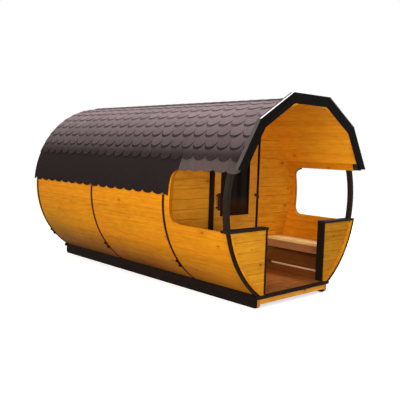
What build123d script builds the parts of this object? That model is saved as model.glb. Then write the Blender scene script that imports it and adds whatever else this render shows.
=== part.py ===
from build123d import *
import math
import os

# Barrel sauna with an open terrace, all sizes in millimetres.
# It is modelled about the barrel's own axis: Y runs along the barrel from its front end, X to the right,
# Z up from the axis. Every sub-part is moved at the end so that the origin lies under its middle.

# Barrel shell
barrel_radius = 1085.0
stave_thickness = 42.0
stave_count = 60
groove_width = 4.0
groove_depth = 2.0
barrel_length = 3760.0
floor_rise = 138.0
base_height = 140.0

# Roof
roof_overhang_front = 85.0
roof_overhang_back = 40.0
roof_cover_thickness = 12.0
roof_eaves = 52.0
terrace_eaves_drop = 20.0
terrace_cover_setback = 20.0
fascia_rises = (92.0, 78.0, 66.0)
fascia_width = 105.0
fascia_thickness = 20.0
back_fascia_drop = 75.0
back_fascia_width = 70.0
fascia_top_half_angle = 15.4
fascia_board_angle = 28.1
mitre_gap = 1.0
flashing_thickness = 2.0
flashing_lip = 5.0
flashing_reach = 22.0

# Walls
board_pitch = 113.0
board_joint = -232.0
wall_thickness = 42.0
front_wall_at = 935.0
back_wall_setback = 18.0

# Side openings of the terrace
half_wall_height = 660.0
opening_top_angle = 71.46
opening_back = 855.0
opening_corner = 110.0

# Half walls, caps, posts
half_wall_gap = 488.0
half_wall_at = 20.0
half_wall_thickness = 65.0
end_trim_thickness = 20.0
end_trim_proud = 8.0
cap_thickness = 25.0
cap_depth = 100.0
post_section = 50.0
post_at = 30.0
arch_trim_thickness = 18.0
arch_trim_depth = 30.0

# Steel bands
band_width = 28.0
band_thickness = 2.5
clamp_angle = 130.0
clamp_length = 110.0
clamp_bolt_radius = 5.0
clamp_lug_thickness = 12.0
clamp_lug_height = 24.0

# Base and floor
floor_thickness = 28.0
skid_width = 45.0
beam_depth = 45.0
beam_height = 70.0
skid_end_radius = 40.0
edge_trim_height = 40.0
edge_trim_thickness = 18.0

# Door
leaf_half_width = 380.0
head_room = 203.0
leaf_gap = 7.0
leaf_foot_gap = 10.0
stile_width = 135.0
top_rail = 140.0
panel_height = 635.0
glass_thickness = 8.0
glass_rebate = 10.0
panel_recess = 6.0
jamb_thickness = 30.0
jamb_depth = 65.0
door_stop = 12.0
threshold_height = 35.0
threshold_nose_depth = 12.0
threshold_nose_drop = 10.0
latch_casing_width = 43.0
latch_casing_proud = 43.0
hinge_casing_width = 22.0
hinge_casing_proud = 10.0
handle_x = -312.0
handle_height = 710.0
handle_length = 200.0
handle_section = 24.0
handle_stand_off = 34.0
handle_chamfer = 4.0
handle_leg_radius = 8.0
handle_leg_inset = 30.0

# Hinges: a fixed pin in a lower knuckle, and an upper knuckle on the leaf
hinge_inset = 150.0
pin_radius = 5.0
pin_clearance = 0.08
knuckle_radius = 8.0
knuckle_height = 34.0
knuckle_gap = 0.5
hinge_plate_thickness = 3.0
hinge_plate_width = 32.0

# Benches on the terrace
bench_height = 385.0
bench_depth = 267.0
slat_count = 3
slat_gap = 8.0
slat_thickness = 28.0
apron_height = 90.0
apron_thickness = 20.0
bracket_thickness = 30.0
bench_clear = 5.0

# Skirting batten on the staves, above the terrace floor
batten_height = 70.0
batten_section = 20.0

# Derived places
inner_radius = barrel_radius - stave_thickness
floor_top = floor_rise - inner_radius
ground = floor_top - base_height
base_half_width = math.sqrt(barrel_radius**2 - floor_top**2)
opening_bottom = floor_top + half_wall_height
opening_top = barrel_radius * math.cos(math.radians(opening_top_angle))
terrace_eaves = opening_top - terrace_eaves_drop
leaf_bottom = floor_top + threshold_height + leaf_foot_gap
leaf_top = inner_radius - head_room
glass_bottom = leaf_bottom + panel_height
handle_bottom = leaf_bottom + handle_height
hinge_levels = (leaf_bottom + hinge_inset, (leaf_bottom + leaf_top) / 2, leaf_top - hinge_inset)
bench_top = floor_top + bench_height
batten_level = floor_top + batten_height
bench_front = math.sqrt(inner_radius**2 - (bench_top - slat_thickness) ** 2) - bench_depth
cover_radius = barrel_radius + roof_cover_thickness
stave_angle = 360.0 / stave_count
crown_angle = 5 * stave_angle
shoulder_angle = 11 * stave_angle
side_angle = 18 * stave_angle
roof_front = -roof_overhang_front
roof_back = barrel_length + roof_overhang_back
floor_bottom = floor_top - floor_thickness
front_wall_back = front_wall_at + wall_thickness
back_wall_back = barrel_length - back_wall_setback
back_wall_at = back_wall_back - wall_thickness
band_places = (
    front_wall_at + wall_thickness / 2,
    (front_wall_at + back_wall_at + wall_thickness) / 2,
    back_wall_at + wall_thickness / 2,
)
hinge_x = leaf_half_width + leaf_gap / 2
hinge_y = front_wall_at - hinge_casing_proud - knuckle_radius - 1.0
half_wall_back = half_wall_at + half_wall_thickness
door_half_opening = leaf_half_width + leaf_gap + jamb_thickness
door_head = leaf_top + leaf_gap + jamb_thickness


def polar(radius, angle):
    """A point in the X-Z section, its angle in degrees from straight up, to the right."""
    return (radius * math.sin(math.radians(angle)), radius * math.cos(math.radians(angle)))


def angle_at_level(radius, level):
    """The angle from straight up at which a circle about the axis reaches a level."""
    return math.degrees(math.acos(level / radius))


def prism_y(section, y_start, y_end):
    """A solid from an X-Z section, between two places along the barrel."""
    return extrude(Plane.XZ.offset(-y_end) * section, amount=y_end - y_start)


def prism_x(section, x_start, x_end):
    """A solid from a Y-Z section, between two places across the barrel."""
    return extrude(Plane.YZ.offset(x_start) * section, amount=x_end - x_start)


def block(x_range, y_range, z_range):
    """A straight-sided solid between three pairs of places."""
    spans = [high - low for low, high in (x_range, y_range, z_range)]
    middle = [(low + high) / 2 for low, high in (x_range, y_range, z_range)]
    return Pos(*middle) * Box(*spans)


def mirrored(shape):
    """The same piece on the other side of the barrel."""
    return mirror(shape, about=Plane.YZ)


def ring_section(inner, outer, angle_start, angle_end):
    """A plain ring sector in the X-Z section."""
    middle = (angle_start + angle_end) / 2
    outer_arc = ThreePointArc(polar(outer, angle_start), polar(outer, middle), polar(outer, angle_end))
    inner_arc = ThreePointArc(polar(inner, angle_end), polar(inner, middle), polar(inner, angle_start))
    edges = [outer_arc, Line(outer_arc @ 1, inner_arc @ 0), inner_arc, Line(inner_arc @ 1, outer_arc @ 0)]
    return make_face(edges)


def stave_path(radius, depth, angles):
    """Arcs along one face of the staves, with a V groove at each joint between them."""
    half = math.degrees(groove_width / 2 / radius)
    turn = math.copysign(1.0, angles[1] - angles[0])
    edges = []
    for number in range(len(angles) - 1):
        low = angles[number] + turn * half
        high = angles[number + 1] - turn * half
        arc = ThreePointArc(polar(radius, low), polar(radius, (low + high) / 2), polar(radius, high))
        edges.append(Line(polar(radius - depth, angles[number]), arc @ 0))
        edges.append(arc)
        edges.append(Line(arc @ 1, polar(radius - depth, angles[number + 1])))
    return edges


def stave_section(angle_start, angle_end):
    """Several staves side by side, grooved on the outside and the inside."""
    count = round((angle_end - angle_start) / stave_angle)
    angles = [angle_start + number * stave_angle for number in range(count + 1)]
    outside = stave_path(barrel_radius, groove_depth, angles)
    inside = stave_path(inner_radius, -groove_depth, angles[::-1])
    ends = [Line(outside[-1] @ 1, inside[0] @ 0), Line(inside[-1] @ 1, outside[0] @ 0)]
    return make_face(outside + inside + ends)


def rounded_cut(y_end, z_start, z_end, corner):
    """A cut right across the barrel, open to the front, with rounded corners at its back end."""
    y_start = 2 * roof_front
    outline = Polyline((y_start, z_start), (y_end, z_start), (y_end, z_end), (y_start, z_end), close=True)
    face = make_face(outline)
    corners = face.vertices().sort_by(Axis.X)[-2:]
    return prism_x(fillet(corners, radius=corner), -2 * barrel_radius, 2 * barrel_radius)


def shell_lower_right():
    last = math.ceil(angle_at_level(barrel_radius, floor_top) / stave_angle + 1) * stave_angle
    ring = prism_y(stave_section(side_angle, last), 0, barrel_length)
    return ring & block((0, 2 * barrel_radius), (-1, barrel_length + 1), (floor_top, barrel_radius))


def shell_side_right():
    ring = prism_y(stave_section(shoulder_angle, side_angle), 0, barrel_length)
    return ring - rounded_cut(opening_back, opening_bottom, opening_top, opening_corner)


def shell_shoulder_right():
    return prism_y(stave_section(crown_angle, shoulder_angle), roof_front, roof_back)


def shell_crown():
    return prism_y(stave_section(-crown_angle, crown_angle), roof_front, roof_back)


def roof_cover_right():
    eaves = angle_at_level(cover_radius, roof_eaves)
    ring = prism_y(ring_section(barrel_radius, cover_radius, crown_angle, eaves), roof_front, roof_back)
    return ring - rounded_cut(
        opening_back + terrace_cover_setback, opening_bottom, terrace_eaves, opening_corner
    )


def roof_cover_crown():
    section = ring_section(barrel_radius, cover_radius, -crown_angle, crown_angle)
    return prism_y(section, roof_front, roof_back)


def fascia_corners(offset):
    """Corners of the gable outline from left to right, moved inwards by an offset."""
    right = []
    for number, rise in enumerate(fascia_rises):
        right.append(Vector(*polar(barrel_radius + rise, fascia_top_half_angle + number * fascia_board_angle)))
    outline = [Vector(-corner.X, corner.Y) for corner in right[::-1]] + right
    foot = outline[0].Y
    corners = []
    lines = []
    for start, end in zip(outline, outline[1:]):
        along = (end - start).normalized()
        inward = Vector(along.Y, -along.X)
        lines.append((start + inward * offset, along))
    first, along = lines[0]
    corners.append(first + along * ((foot - first.Y) / along.Y))
    for (start, along), (other, beside) in zip(lines, lines[1:]):
        gap = other - start
        reach = (gap.X * beside.Y - gap.Y * beside.X) / (along.X * beside.Y - along.Y * beside.X)
        corners.append(start + along * reach)
    last, along = lines[-1]
    corners.append(last + along * ((foot - last.Y) / along.Y))
    return corners


def gable_boards(outer_offset, inner_offset, y_start, y_end):
    """Straight boards round the gable, mitred with a small gap at each corner."""
    outer = fascia_corners(outer_offset)
    inner = fascia_corners(inner_offset)
    boards = []
    for number in range(len(outer) - 1):
        along = (outer[number + 1] - outer[number]).normalized() * (mitre_gap / 2)
        corners = (outer[number] + along, outer[number + 1] - along, inner[number + 1] - along, inner[number] + along)
        section = make_face(Polyline(*[(corner.X, corner.Y) for corner in corners], close=True))
        boards.append(prism_y(section, y_start, y_end))
    return boards


def fascia(y_start, drop, width):
    """The gable boards, lowered from the front outline by a drop."""
    return Compound(children=gable_boards(drop, drop + width, y_start, y_start + fascia_thickness))


def flashing(y_face, towards, drop, reach):
    """An angle strip over the edge of the gable boards, with its lip down their face."""
    y_lip = y_face - towards * flashing_thickness
    y_reach = y_face + towards * (fascia_thickness + reach)
    top = gable_boards(drop - flashing_thickness, drop, min(y_lip, y_reach), max(y_lip, y_reach))
    lip = gable_boards(drop, drop + flashing_lip, min(y_lip, y_face), max(y_lip, y_face))
    return [upper + lower for upper, lower in zip(top, lip)]


def roof_flashings():
    front = flashing(roof_front - fascia_thickness, 1, 0, flashing_reach)
    back = flashing(roof_back + fascia_thickness, -1, back_fascia_drop, 0)
    return Compound(children=front + back)


def board_grooves(x_range, z_range, faces):
    """Level grooves at the board joints on the given wall faces, as cutting tools."""
    tools = []
    first = math.ceil((z_range[0] + groove_width - board_joint) / board_pitch)
    last = math.floor((z_range[1] - groove_width - board_joint) / board_pitch)
    for number in range(first, last + 1):
        level = board_joint + number * board_pitch
        for face in faces:
            notch = Rectangle(groove_depth * math.sqrt(2), groove_depth * math.sqrt(2), rotation=45)
            tools.append(prism_x(Pos(face, level) * notch, *x_range))
    return tools


def round_wall(y_start, z_start, z_end):
    """A boarded wall that fills the barrel between two levels."""
    disc = Circle(inner_radius) & Pos(0, (z_start + z_end) / 2) * Rectangle(2 * barrel_radius, z_end - z_start)
    wall = prism_y(disc, y_start, y_start + wall_thickness)
    reach = (-barrel_radius, barrel_radius)
    for tool in board_grooves(reach, (z_start, z_end), (y_start, y_start + wall_thickness)):
        wall = wall - tool
    return wall


def front_wall():
    return round_wall(front_wall_at, floor_top, inner_radius)


def front_wall_piece(x_range, z_start):
    span = (front_wall_at - 1, front_wall_back + 1)
    return front_wall() & block(x_range, span, (z_start, barrel_radius))


def half_wall_right():
    start = half_wall_gap + end_trim_thickness
    height = opening_bottom - floor_top
    disc = Circle(inner_radius) & Pos(start + barrel_radius / 2, floor_top + height / 2) * Rectangle(barrel_radius, height)
    wall = prism_y(disc, half_wall_at, half_wall_back)
    reach = (start, barrel_radius)
    for tool in board_grooves(reach, (floor_top, opening_bottom), (half_wall_at, half_wall_back)):
        wall = wall - tool
    return wall


def half_wall_cap_right():
    level = opening_bottom + cap_thickness / 2
    strip = Circle(barrel_radius + arch_trim_thickness) & Pos(half_wall_gap + barrel_radius / 2, level) * Rectangle(
        barrel_radius, cap_thickness
    )
    cap = prism_y(strip, 0, cap_depth)
    top_edges = cap.edges().filter_by(Axis.X).group_by(Axis.Z)[-1]
    return fillet(top_edges, radius=4)


def half_wall_end_trim_right():
    depth = (half_wall_at - end_trim_proud, cap_depth)
    return block((half_wall_gap, half_wall_gap + end_trim_thickness), depth, (floor_top, opening_bottom))


def arch_post_right():
    top = angle_at_level(barrel_radius - post_section, opening_top)
    bottom = angle_at_level(barrel_radius, opening_bottom + cap_thickness)
    ring = ring_section(barrel_radius - post_section, barrel_radius, top - 3, bottom + 3)
    post = prism_y(ring, post_at, post_at + post_section)
    levels = (opening_bottom + cap_thickness, opening_top)
    return post & block((0, 2 * barrel_radius), (0, cap_depth), levels)


def arch_trim_right():
    top = angle_at_level(barrel_radius, opening_bottom)
    bottom = angle_at_level(barrel_radius + arch_trim_thickness, floor_top)
    ring = ring_section(barrel_radius, barrel_radius + arch_trim_thickness, top - 2, bottom + 3)
    trim = prism_y(ring, 0, arch_trim_depth)
    return trim & block((0, 2 * barrel_radius), (-1, arch_trim_depth + 1), (floor_top, opening_bottom))


def band_straps_right():
    """Three straps from the base up to the edge of the roof covering."""
    top = angle_at_level(cover_radius, roof_eaves) + 0.05
    bottom = angle_at_level(barrel_radius + band_thickness, floor_top)
    section = ring_section(barrel_radius, barrel_radius + band_thickness, top, bottom)
    return Compound(children=[prism_y(section, y - band_width / 2, y + band_width / 2) for y in band_places])


def band_clamp():
    """A tightening clamp: two lugs joined by a bolt with a nut, standing on the strap at the top."""
    lug = Box(band_width, clamp_lug_thickness, clamp_lug_height)
    across = Plane.XZ.offset(-clamp_length / 2)
    bolt = extrude(across * RegularPolygon(clamp_bolt_radius, 10), amount=clamp_length)
    nut = extrude(across * RegularPolygon(2 * clamp_bolt_radius, 6), amount=clamp_bolt_radius)
    clamp = bolt + nut
    for side in (-1, 1):
        clamp = clamp + Pos(0, side * clamp_length / 3, 0) * lug
    return Pos(0, 0, clamp_lug_height / 2) * clamp


def band_clamps():
    clamps = []
    for y in band_places:
        radius = barrel_radius + band_thickness
        for side in (-1, 1):
            x, z = polar(radius, side * clamp_angle)
            place = Pos(x, y, z) * Rot(0, side * clamp_angle, 0) * Rot(0, 0, 90)
            clamps.append(place * band_clamp())
    return Compound(children=clamps)


def base_skid_right():
    outline = Polyline(
        (edge_trim_thickness, ground),
        (back_wall_back, ground),
        (back_wall_back, floor_bottom),
        (edge_trim_thickness, floor_bottom),
        close=True,
    )
    face = make_face(outline)
    low = face.vertices().group_by(Axis.Y)[0]
    return prism_x(fillet(low, radius=skid_end_radius), base_half_width - skid_width, base_half_width)


def base_crossbeams():
    starts = (
        edge_trim_thickness,
        band_places[0] - beam_depth / 2,
        band_places[1] - beam_depth / 2,
        back_wall_back - beam_depth,
    )
    half = base_half_width - skid_width
    levels = (floor_bottom - beam_height, floor_bottom)
    return Compound(children=[block((-half, half), (y, y + beam_depth), levels) for y in starts])


def floor_panel(y_start, y_end):
    """Floor boards laid across the skids, grooved at their joints."""
    panel = block((-base_half_width, base_half_width), (y_start, y_end), (floor_bottom, floor_top))
    count = int((y_end - y_start) // board_pitch)
    side = groove_depth * math.sqrt(2)
    for number in range(1, count + 1):
        notch = prism_x(Pos(y_start + number * board_pitch, floor_top) * Rectangle(side, side, rotation=45),
                        -inner_radius / 2, inner_radius / 2)
        panel = panel - notch
    return panel


def floor_edge_trims():
    half = base_half_width + stave_thickness / 2
    levels = (floor_top - edge_trim_height, floor_top)
    front = block((-half, half), (0, edge_trim_thickness), levels)
    back = block((-half, half), (back_wall_back, barrel_length), levels)
    return Compound(children=[front, back])


def door_jamb_right():
    """A jamb with the stop that the leaf closes against."""
    jamb = block(
        (leaf_half_width + leaf_gap, door_half_opening),
        (front_wall_at, front_wall_at + jamb_depth),
        (floor_top + 1, door_head - jamb_thickness - 0.5),
    )
    stop = block(
        (leaf_half_width + leaf_gap - door_stop, leaf_half_width + leaf_gap),
        (front_wall_back + leaf_gap, front_wall_at + jamb_depth),
        (floor_top + threshold_height + 0.5, door_head - jamb_thickness - 0.5),
    )
    return jamb + stop


def door_frame():
    right = door_jamb_right()
    head = block(
        (-door_half_opening, door_half_opening),
        (front_wall_at, front_wall_at + jamb_depth),
        (door_head - jamb_thickness, door_head),
    )
    stop = block(
        (-leaf_half_width + leaf_gap, leaf_half_width - leaf_gap),
        (front_wall_back + leaf_gap, front_wall_at + jamb_depth),
        (door_head - jamb_thickness - door_stop, door_head - jamb_thickness),
    )
    return Compound(children=[mirrored(right), right, head + stop])


def door_threshold():
    section = Polyline(
        (front_wall_at, floor_top),
        (front_wall_at + jamb_depth, floor_top),
        (front_wall_at + jamb_depth, floor_top + threshold_height),
        (front_wall_at + threshold_nose_depth, floor_top + threshold_height),
        (front_wall_at, floor_top + threshold_height - threshold_nose_drop),
        close=True,
    )
    half = leaf_half_width + leaf_gap
    return prism_x(make_face(section), -half, half)


def door_casing():
    """Trim round the doorway: a deep latch side, a thin hinge side and a head between them."""
    start = leaf_half_width + leaf_gap
    foot = floor_top + 1
    top = door_head + 10
    latch = block((-start - latch_casing_width, -start), (front_wall_at - latch_casing_proud, front_wall_at), (foot, top))
    hinge = block((start, start + hinge_casing_width), (front_wall_at - hinge_casing_proud, front_wall_at), (foot, top))
    head = block(
        (-start + 0.5, start - 0.5),
        (front_wall_at - hinge_casing_proud, front_wall_at),
        (door_head - jamb_thickness, top),
    )
    return Compound(children=[latch, hinge, head])


def door_leaf():
    """Stiles and rails round a glazed opening, over a recessed panel of level boards."""
    y_range = (front_wall_at, front_wall_back)
    leaf = block((-leaf_half_width, leaf_half_width), y_range, (leaf_bottom, leaf_top))
    half = leaf_half_width - stile_width
    glass_top = leaf_top - top_rail
    leaf = leaf - block((-half, half), (y_range[0] - 1, y_range[1] + 1), (glass_bottom, glass_top))
    rebate = half + glass_rebate
    middle = (y_range[0] + y_range[1]) / 2
    slot = (middle - glass_thickness / 2, middle + glass_thickness / 2)
    leaf = leaf - block((-rebate, rebate), slot, (glass_bottom - glass_rebate, glass_top + glass_rebate))
    panel = (leaf_bottom + top_rail, glass_bottom - 2 * glass_rebate)
    for y_face, inward in ((y_range[0], 1), (y_range[1], -1)):
        pocket = sorted((y_face - inward, y_face + inward * panel_recess))
        leaf = leaf - block((-half, half), pocket, panel)
        for tool in board_grooves((-half, half), panel, (y_face + inward * panel_recess,)):
            leaf = leaf - tool
    return leaf


def door_glass():
    half = leaf_half_width - stile_width + glass_rebate
    middle = (front_wall_at + front_wall_back) / 2
    levels = (glass_bottom - glass_rebate, leaf_top - top_rail + glass_rebate)
    return block((-half, half), (middle - glass_thickness / 2, middle + glass_thickness / 2), levels)


def door_handle(y_face, outward):
    """A pull bar on two stand-offs."""
    y_bar = y_face + outward * (handle_stand_off + handle_section / 2)
    bar = Pos(handle_x, y_bar, handle_bottom + handle_length / 2) * Box(handle_section, handle_section, handle_length)
    bar = chamfer(bar.edges(), length=handle_chamfer)
    legs = []
    reach = handle_stand_off + handle_chamfer
    for level in (handle_bottom + handle_leg_inset, handle_bottom + handle_length - handle_leg_inset):
        leg = Rot(90, 0, 0) * Cylinder(handle_leg_radius, reach)
        legs.append(Pos(handle_x, y_face + outward * reach / 2, level) * leg)
    return bar + legs[0] + legs[1]


def door_handles():
    return Compound(children=[door_handle(front_wall_at, -1), door_handle(front_wall_back, 1)])


def hinge_plate(x_side, y_back):
    """A plate from the knuckle to the face it is screwed to, standing from z = 0."""
    plate = block(
        sorted((0, x_side * hinge_plate_width)),
        (y_back - hinge_plate_thickness, y_back),
        (0, knuckle_height),
    )
    web = block((-knuckle_radius / 2, knuckle_radius / 2), (0, y_back), (0, knuckle_height))
    return plate + web


def door_hinge_pins():
    """The fixed halves of the hinges, each a knuckle with an upright pin."""
    halves = []
    for level in hinge_levels:
        knuckle = Pos(0, 0, knuckle_height / 2) * Cylinder(knuckle_radius, knuckle_height)
        pin = Pos(0, 0, knuckle_height) * Cylinder(pin_radius, 2 * knuckle_height)
        plate = hinge_plate(1, front_wall_at - hinge_casing_proud - hinge_y)
        halves.append(Pos(hinge_x, hinge_y, level - knuckle_height) * (knuckle + pin + plate))
    return Compound(children=halves)


def door_hinge_leaves():
    """The moving halves of the hinges, each a knuckle over the pin with a packed-out plate."""
    halves = []
    height = knuckle_height - knuckle_gap
    for level in hinge_levels:
        knuckle = Pos(0, 0, height / 2) * Cylinder(knuckle_radius, height)
        packer = block(
            (-hinge_plate_width - knuckle_radius, -knuckle_radius / 2),
            (0, front_wall_at - hinge_y),
            (0, height),
        )
        bore = Pos(0, 0, height / 2) * Cylinder(pin_radius + pin_clearance, 2 * height)
        halves.append(Pos(hinge_x, hinge_y, level + knuckle_gap) * (knuckle + packer - bore))
    return Compound(children=halves)


def bench_slats_right():
    """Slats between the half wall and the front wall, the last one against the staves."""
    width = (bench_depth - (slat_count - 1) * slat_gap) / slat_count
    slats = []
    for number in range(slat_count):
        start = bench_front + number * (width + slat_gap)
        slat = block((start, start + width), (cap_depth + bench_clear, front_wall_at - bench_clear),
                     (bench_top - slat_thickness, bench_top))
        slats.append(fillet(slat.edges().filter_by(Axis.Y).group_by(Axis.Z)[-1], radius=4))
    return Compound(children=slats)


def bench_frame_right():
    """An apron under the front slat with brackets back to the staves."""
    top = bench_top - slat_thickness
    levels = (top - apron_height, top)
    ends = (cap_depth + bench_clear, front_wall_at - bench_clear)
    frame = block((bench_front + 5, bench_front + 5 + apron_thickness), ends, levels)
    disc = Circle(inner_radius) & Pos(bench_front + 5 + barrel_radius / 2, top - apron_height / 2) * Rectangle(
        barrel_radius, apron_height
    )
    middle = (ends[0] + ends[1]) / 2
    for place in (ends[0] + bracket_thickness, middle, ends[1] - bracket_thickness):
        frame = frame + prism_y(disc, place - bracket_thickness / 2, place + bracket_thickness / 2)
    return frame


def skirting_batten_right():
    angle = angle_at_level(inner_radius, batten_level)
    half = math.degrees(batten_section / 2 / inner_radius)
    section = ring_section(inner_radius - batten_section, inner_radius, angle - half, angle + half)
    return prism_y(section, cap_depth + bench_clear, front_wall_at - bench_clear)


def both_sides(piece):
    return Compound(children=[mirrored(piece), piece])


def build_parts():
    """All sub-parts by name."""
    lower = shell_lower_right()
    side = shell_side_right()
    shoulder = shell_shoulder_right()
    cover = roof_cover_right()
    skid = base_skid_right()
    half_wall = half_wall_right()
    slats = bench_slats_right()
    frame = bench_frame_right()
    straps = band_straps_right()
    return {
        "base_skid_left": mirrored(skid),
        "base_skid_right": skid,
        "base_crossbeams": base_crossbeams(),
        "floor_terrace": floor_panel(edge_trim_thickness, band_places[0]),
        "floor_room": floor_panel(band_places[0], back_wall_back),
        "floor_edge_trims": floor_edge_trims(),
        "shell_lower_left": mirrored(lower),
        "shell_lower_right": lower,
        "shell_side_left": mirrored(side),
        "shell_side_right": side,
        "shell_shoulder_left": mirrored(shoulder),
        "shell_shoulder_right": shoulder,
        "shell_crown": shell_crown(),
        "roof_cover_left": mirrored(cover),
        "roof_cover_right": cover,
        "roof_cover_crown": roof_cover_crown(),
        "fascia_front": fascia(roof_front - fascia_thickness, 0, fascia_width),
        "fascia_back": fascia(roof_back, back_fascia_drop, back_fascia_width),
        "roof_flashings": roof_flashings(),
        "arch_trims": both_sides(arch_trim_right()),
        "band_straps_left": mirrored(straps),
        "band_straps_right": straps,
        "band_clamps": band_clamps(),
        "wall_front_left": front_wall_piece((-barrel_radius, -door_half_opening), floor_top),
        "wall_front_right": front_wall_piece((door_half_opening, barrel_radius), floor_top),
        "wall_front_over_door": front_wall_piece((-door_half_opening, door_half_opening), door_head),
        "wall_back": round_wall(back_wall_at, floor_top, inner_radius),
        "half_wall_left": mirrored(half_wall),
        "half_wall_right": half_wall,
        "half_wall_caps": both_sides(half_wall_cap_right()),
        "half_wall_end_trims": both_sides(half_wall_end_trim_right()),
        "arch_posts": both_sides(arch_post_right()),
        "bench_slats_left": mirrored(slats),
        "bench_slats_right": slats,
        "bench_frame_left": mirrored(frame),
        "bench_frame_right": frame,
        "skirting_battens": both_sides(skirting_batten_right()),
        "door_frame": door_frame(),
        "door_threshold": door_threshold(),
        "door_casing": door_casing(),
        "door_hinge_pins": door_hinge_pins(),
        "door_hinge_leaves": door_hinge_leaves(),
        "door_leaf": door_leaf(),
        "door_glass": door_glass(),
        "door_handles": door_handles(),
    }


def main():
    os.makedirs("parts", exist_ok=True)
    middle = (roof_front + roof_back) / 2
    for name, shape in build_parts().items():
        export_step(Pos(0, -middle, -ground) * shape, f"parts/{name}.step")


if __name__ == "__main__":
    main()
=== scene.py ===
"""Looks of a barrel sauna with an open terrace: shingles, stained boards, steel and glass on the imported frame.

Lengths are in metres and colours are linear. The barrel's axis runs along Y at AXIS_HEIGHT, its front end lies at
FRONT_END, and places on the roof are given by radius, angle from the top in degrees, and distance from the front end.
"""

from __future__ import annotations

import logging
import math
import random
from collections.abc import Iterator
from dataclasses import dataclass, field
from enum import Enum
from functools import cache, cached_property

import bpy
from mathutils import Matrix, Vector

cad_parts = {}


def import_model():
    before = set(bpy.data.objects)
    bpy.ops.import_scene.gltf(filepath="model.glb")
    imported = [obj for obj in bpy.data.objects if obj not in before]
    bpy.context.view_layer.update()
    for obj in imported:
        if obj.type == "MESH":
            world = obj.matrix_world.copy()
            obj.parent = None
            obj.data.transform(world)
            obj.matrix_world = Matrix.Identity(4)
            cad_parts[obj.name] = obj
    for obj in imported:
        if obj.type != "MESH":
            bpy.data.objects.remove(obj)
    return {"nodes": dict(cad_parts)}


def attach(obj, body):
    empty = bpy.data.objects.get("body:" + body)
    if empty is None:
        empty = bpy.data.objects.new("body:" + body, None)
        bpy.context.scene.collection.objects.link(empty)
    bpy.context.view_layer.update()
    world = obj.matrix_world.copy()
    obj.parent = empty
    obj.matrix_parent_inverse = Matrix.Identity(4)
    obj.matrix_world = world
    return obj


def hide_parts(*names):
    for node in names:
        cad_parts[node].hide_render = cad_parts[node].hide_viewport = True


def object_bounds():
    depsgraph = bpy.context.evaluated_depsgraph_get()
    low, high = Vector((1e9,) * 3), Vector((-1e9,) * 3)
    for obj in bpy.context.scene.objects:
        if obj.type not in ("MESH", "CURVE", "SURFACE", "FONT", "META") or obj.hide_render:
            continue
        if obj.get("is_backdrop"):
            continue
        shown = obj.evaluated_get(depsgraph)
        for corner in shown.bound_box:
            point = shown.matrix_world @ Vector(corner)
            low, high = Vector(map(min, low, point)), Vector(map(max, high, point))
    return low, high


LOG = logging.getLogger("sauna")

Colour = tuple[float, float, float]
Point = tuple[float, float, float]
Pair = tuple[float, float]
Value = object
Socket = bpy.types.NodeSocket
Outputs = bpy.types.NodeOutputs
Material = bpy.types.Material

AXIS_HEIGHT = 1.045
FRONT_END = -1.8575
BARREL_RADIUS = 1.085
STAVE_WIDTH = BARREL_RADIUS * math.radians(6.0)
BOARD_PITCH = 0.113
# height of one joint of the upright walls' boards over the barrel's axis
BOARD_JOINT = -0.232
# set-back of the first joint of the floor boards from the front end
FLOOR_JOINT = 0.018
BUILDING = "building"
DOOR = "door"
WHITE: Colour = (1.0, 1.0, 1.0)
# painted olive reflection of the grass on the lowest staves
GRASS_REFLECTION: Colour = (0.36, 0.21, 0.008)
# colour of the painted contact shadow beside the steel bands, partly rust staining
BAND_SHADOW_AND_RUST: Colour = (0.09, 0.026, 0.006)
BLACK_STAIN: Colour = (0.010, 0.006, 0.004)

# how much each mark of the grain adds to the darkness of the wood, and the level taken off their sum
GRAIN_SHARES = {"Figure": 0.22, "Tone": 0.34, "Fibre": 0.4, "Streak": 0.55, "Mottle": 0.40}
BLOTCH_SHARE = 0.5
GRAIN_LEVEL = 0.74
# how far the warmer boards, the wood round the knots and the knots take their own colours
WARM_SHARE = 0.35
WARM_SHIFT: Colour = (1.0, 0.78, 0.6)
HALO_SHARE = 0.45
KNOT_SHARE = 0.9
# radius within which the staves show their inner side
INNER_RADIUS = 1.055
# how far behind the front end its own face, the inner side and the cut faces are told apart
END_FACE = 0.0005
INNER_START = 0.04
CUT_START = 0.05
# how squarely a cut face, an end or the sheet's lip lies across the barrel where it starts to count, and fully does
CUT_FACING: Pair = (0.35, 0.75)
END_FACING: Pair = (0.5, 0.8)
LIP_FACING: Pair = (0.6, 0.8)
# distances from a band's middle at which the painted contact shadow beside it, partly rust staining, starts and is
# full, and its strength
BAND_REACH: Pair = (0.023, 0.016)
BAND_SHADOW_AND_RUST_STRENGTH = 0.85
# heights between which the painted shade near the ground darkens the wood, and between which the painted olive
# reflection of the grass shows
GROUND_SHADE_LEVELS: Pair = (0.62, 0.08)
GRASS_REFLECTION_LEVELS: Pair = (0.85, 0.35)
# places along the barrel between which the painted ground shade grows from its least share, and the painted grass
# reflection comes in
GROUND_SHADE_GROWTH: Pair = (-1.6, -0.2)
GROUND_SHADE_LEAST = 0.35
GRASS_REFLECTION_GROWTH: Pair = (0.2, 1.6)
# changes of the scuffs to the metre, and levels of the noise between which a scuff comes in
SCUFF_RATE = 38.0
SCUFF_LEVELS: Pair = (0.56, 0.70)
# granules of the felt to the metre, and changes of its slow drift in tone
GRANULE_RATE = 330.0
DRIFT_RATE = 9.0


def shade(colour: Colour, factor: float) -> Colour:
    """Returns a colour made darker or lighter by a factor."""
    return tuple(channel * factor for channel in colour)


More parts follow.
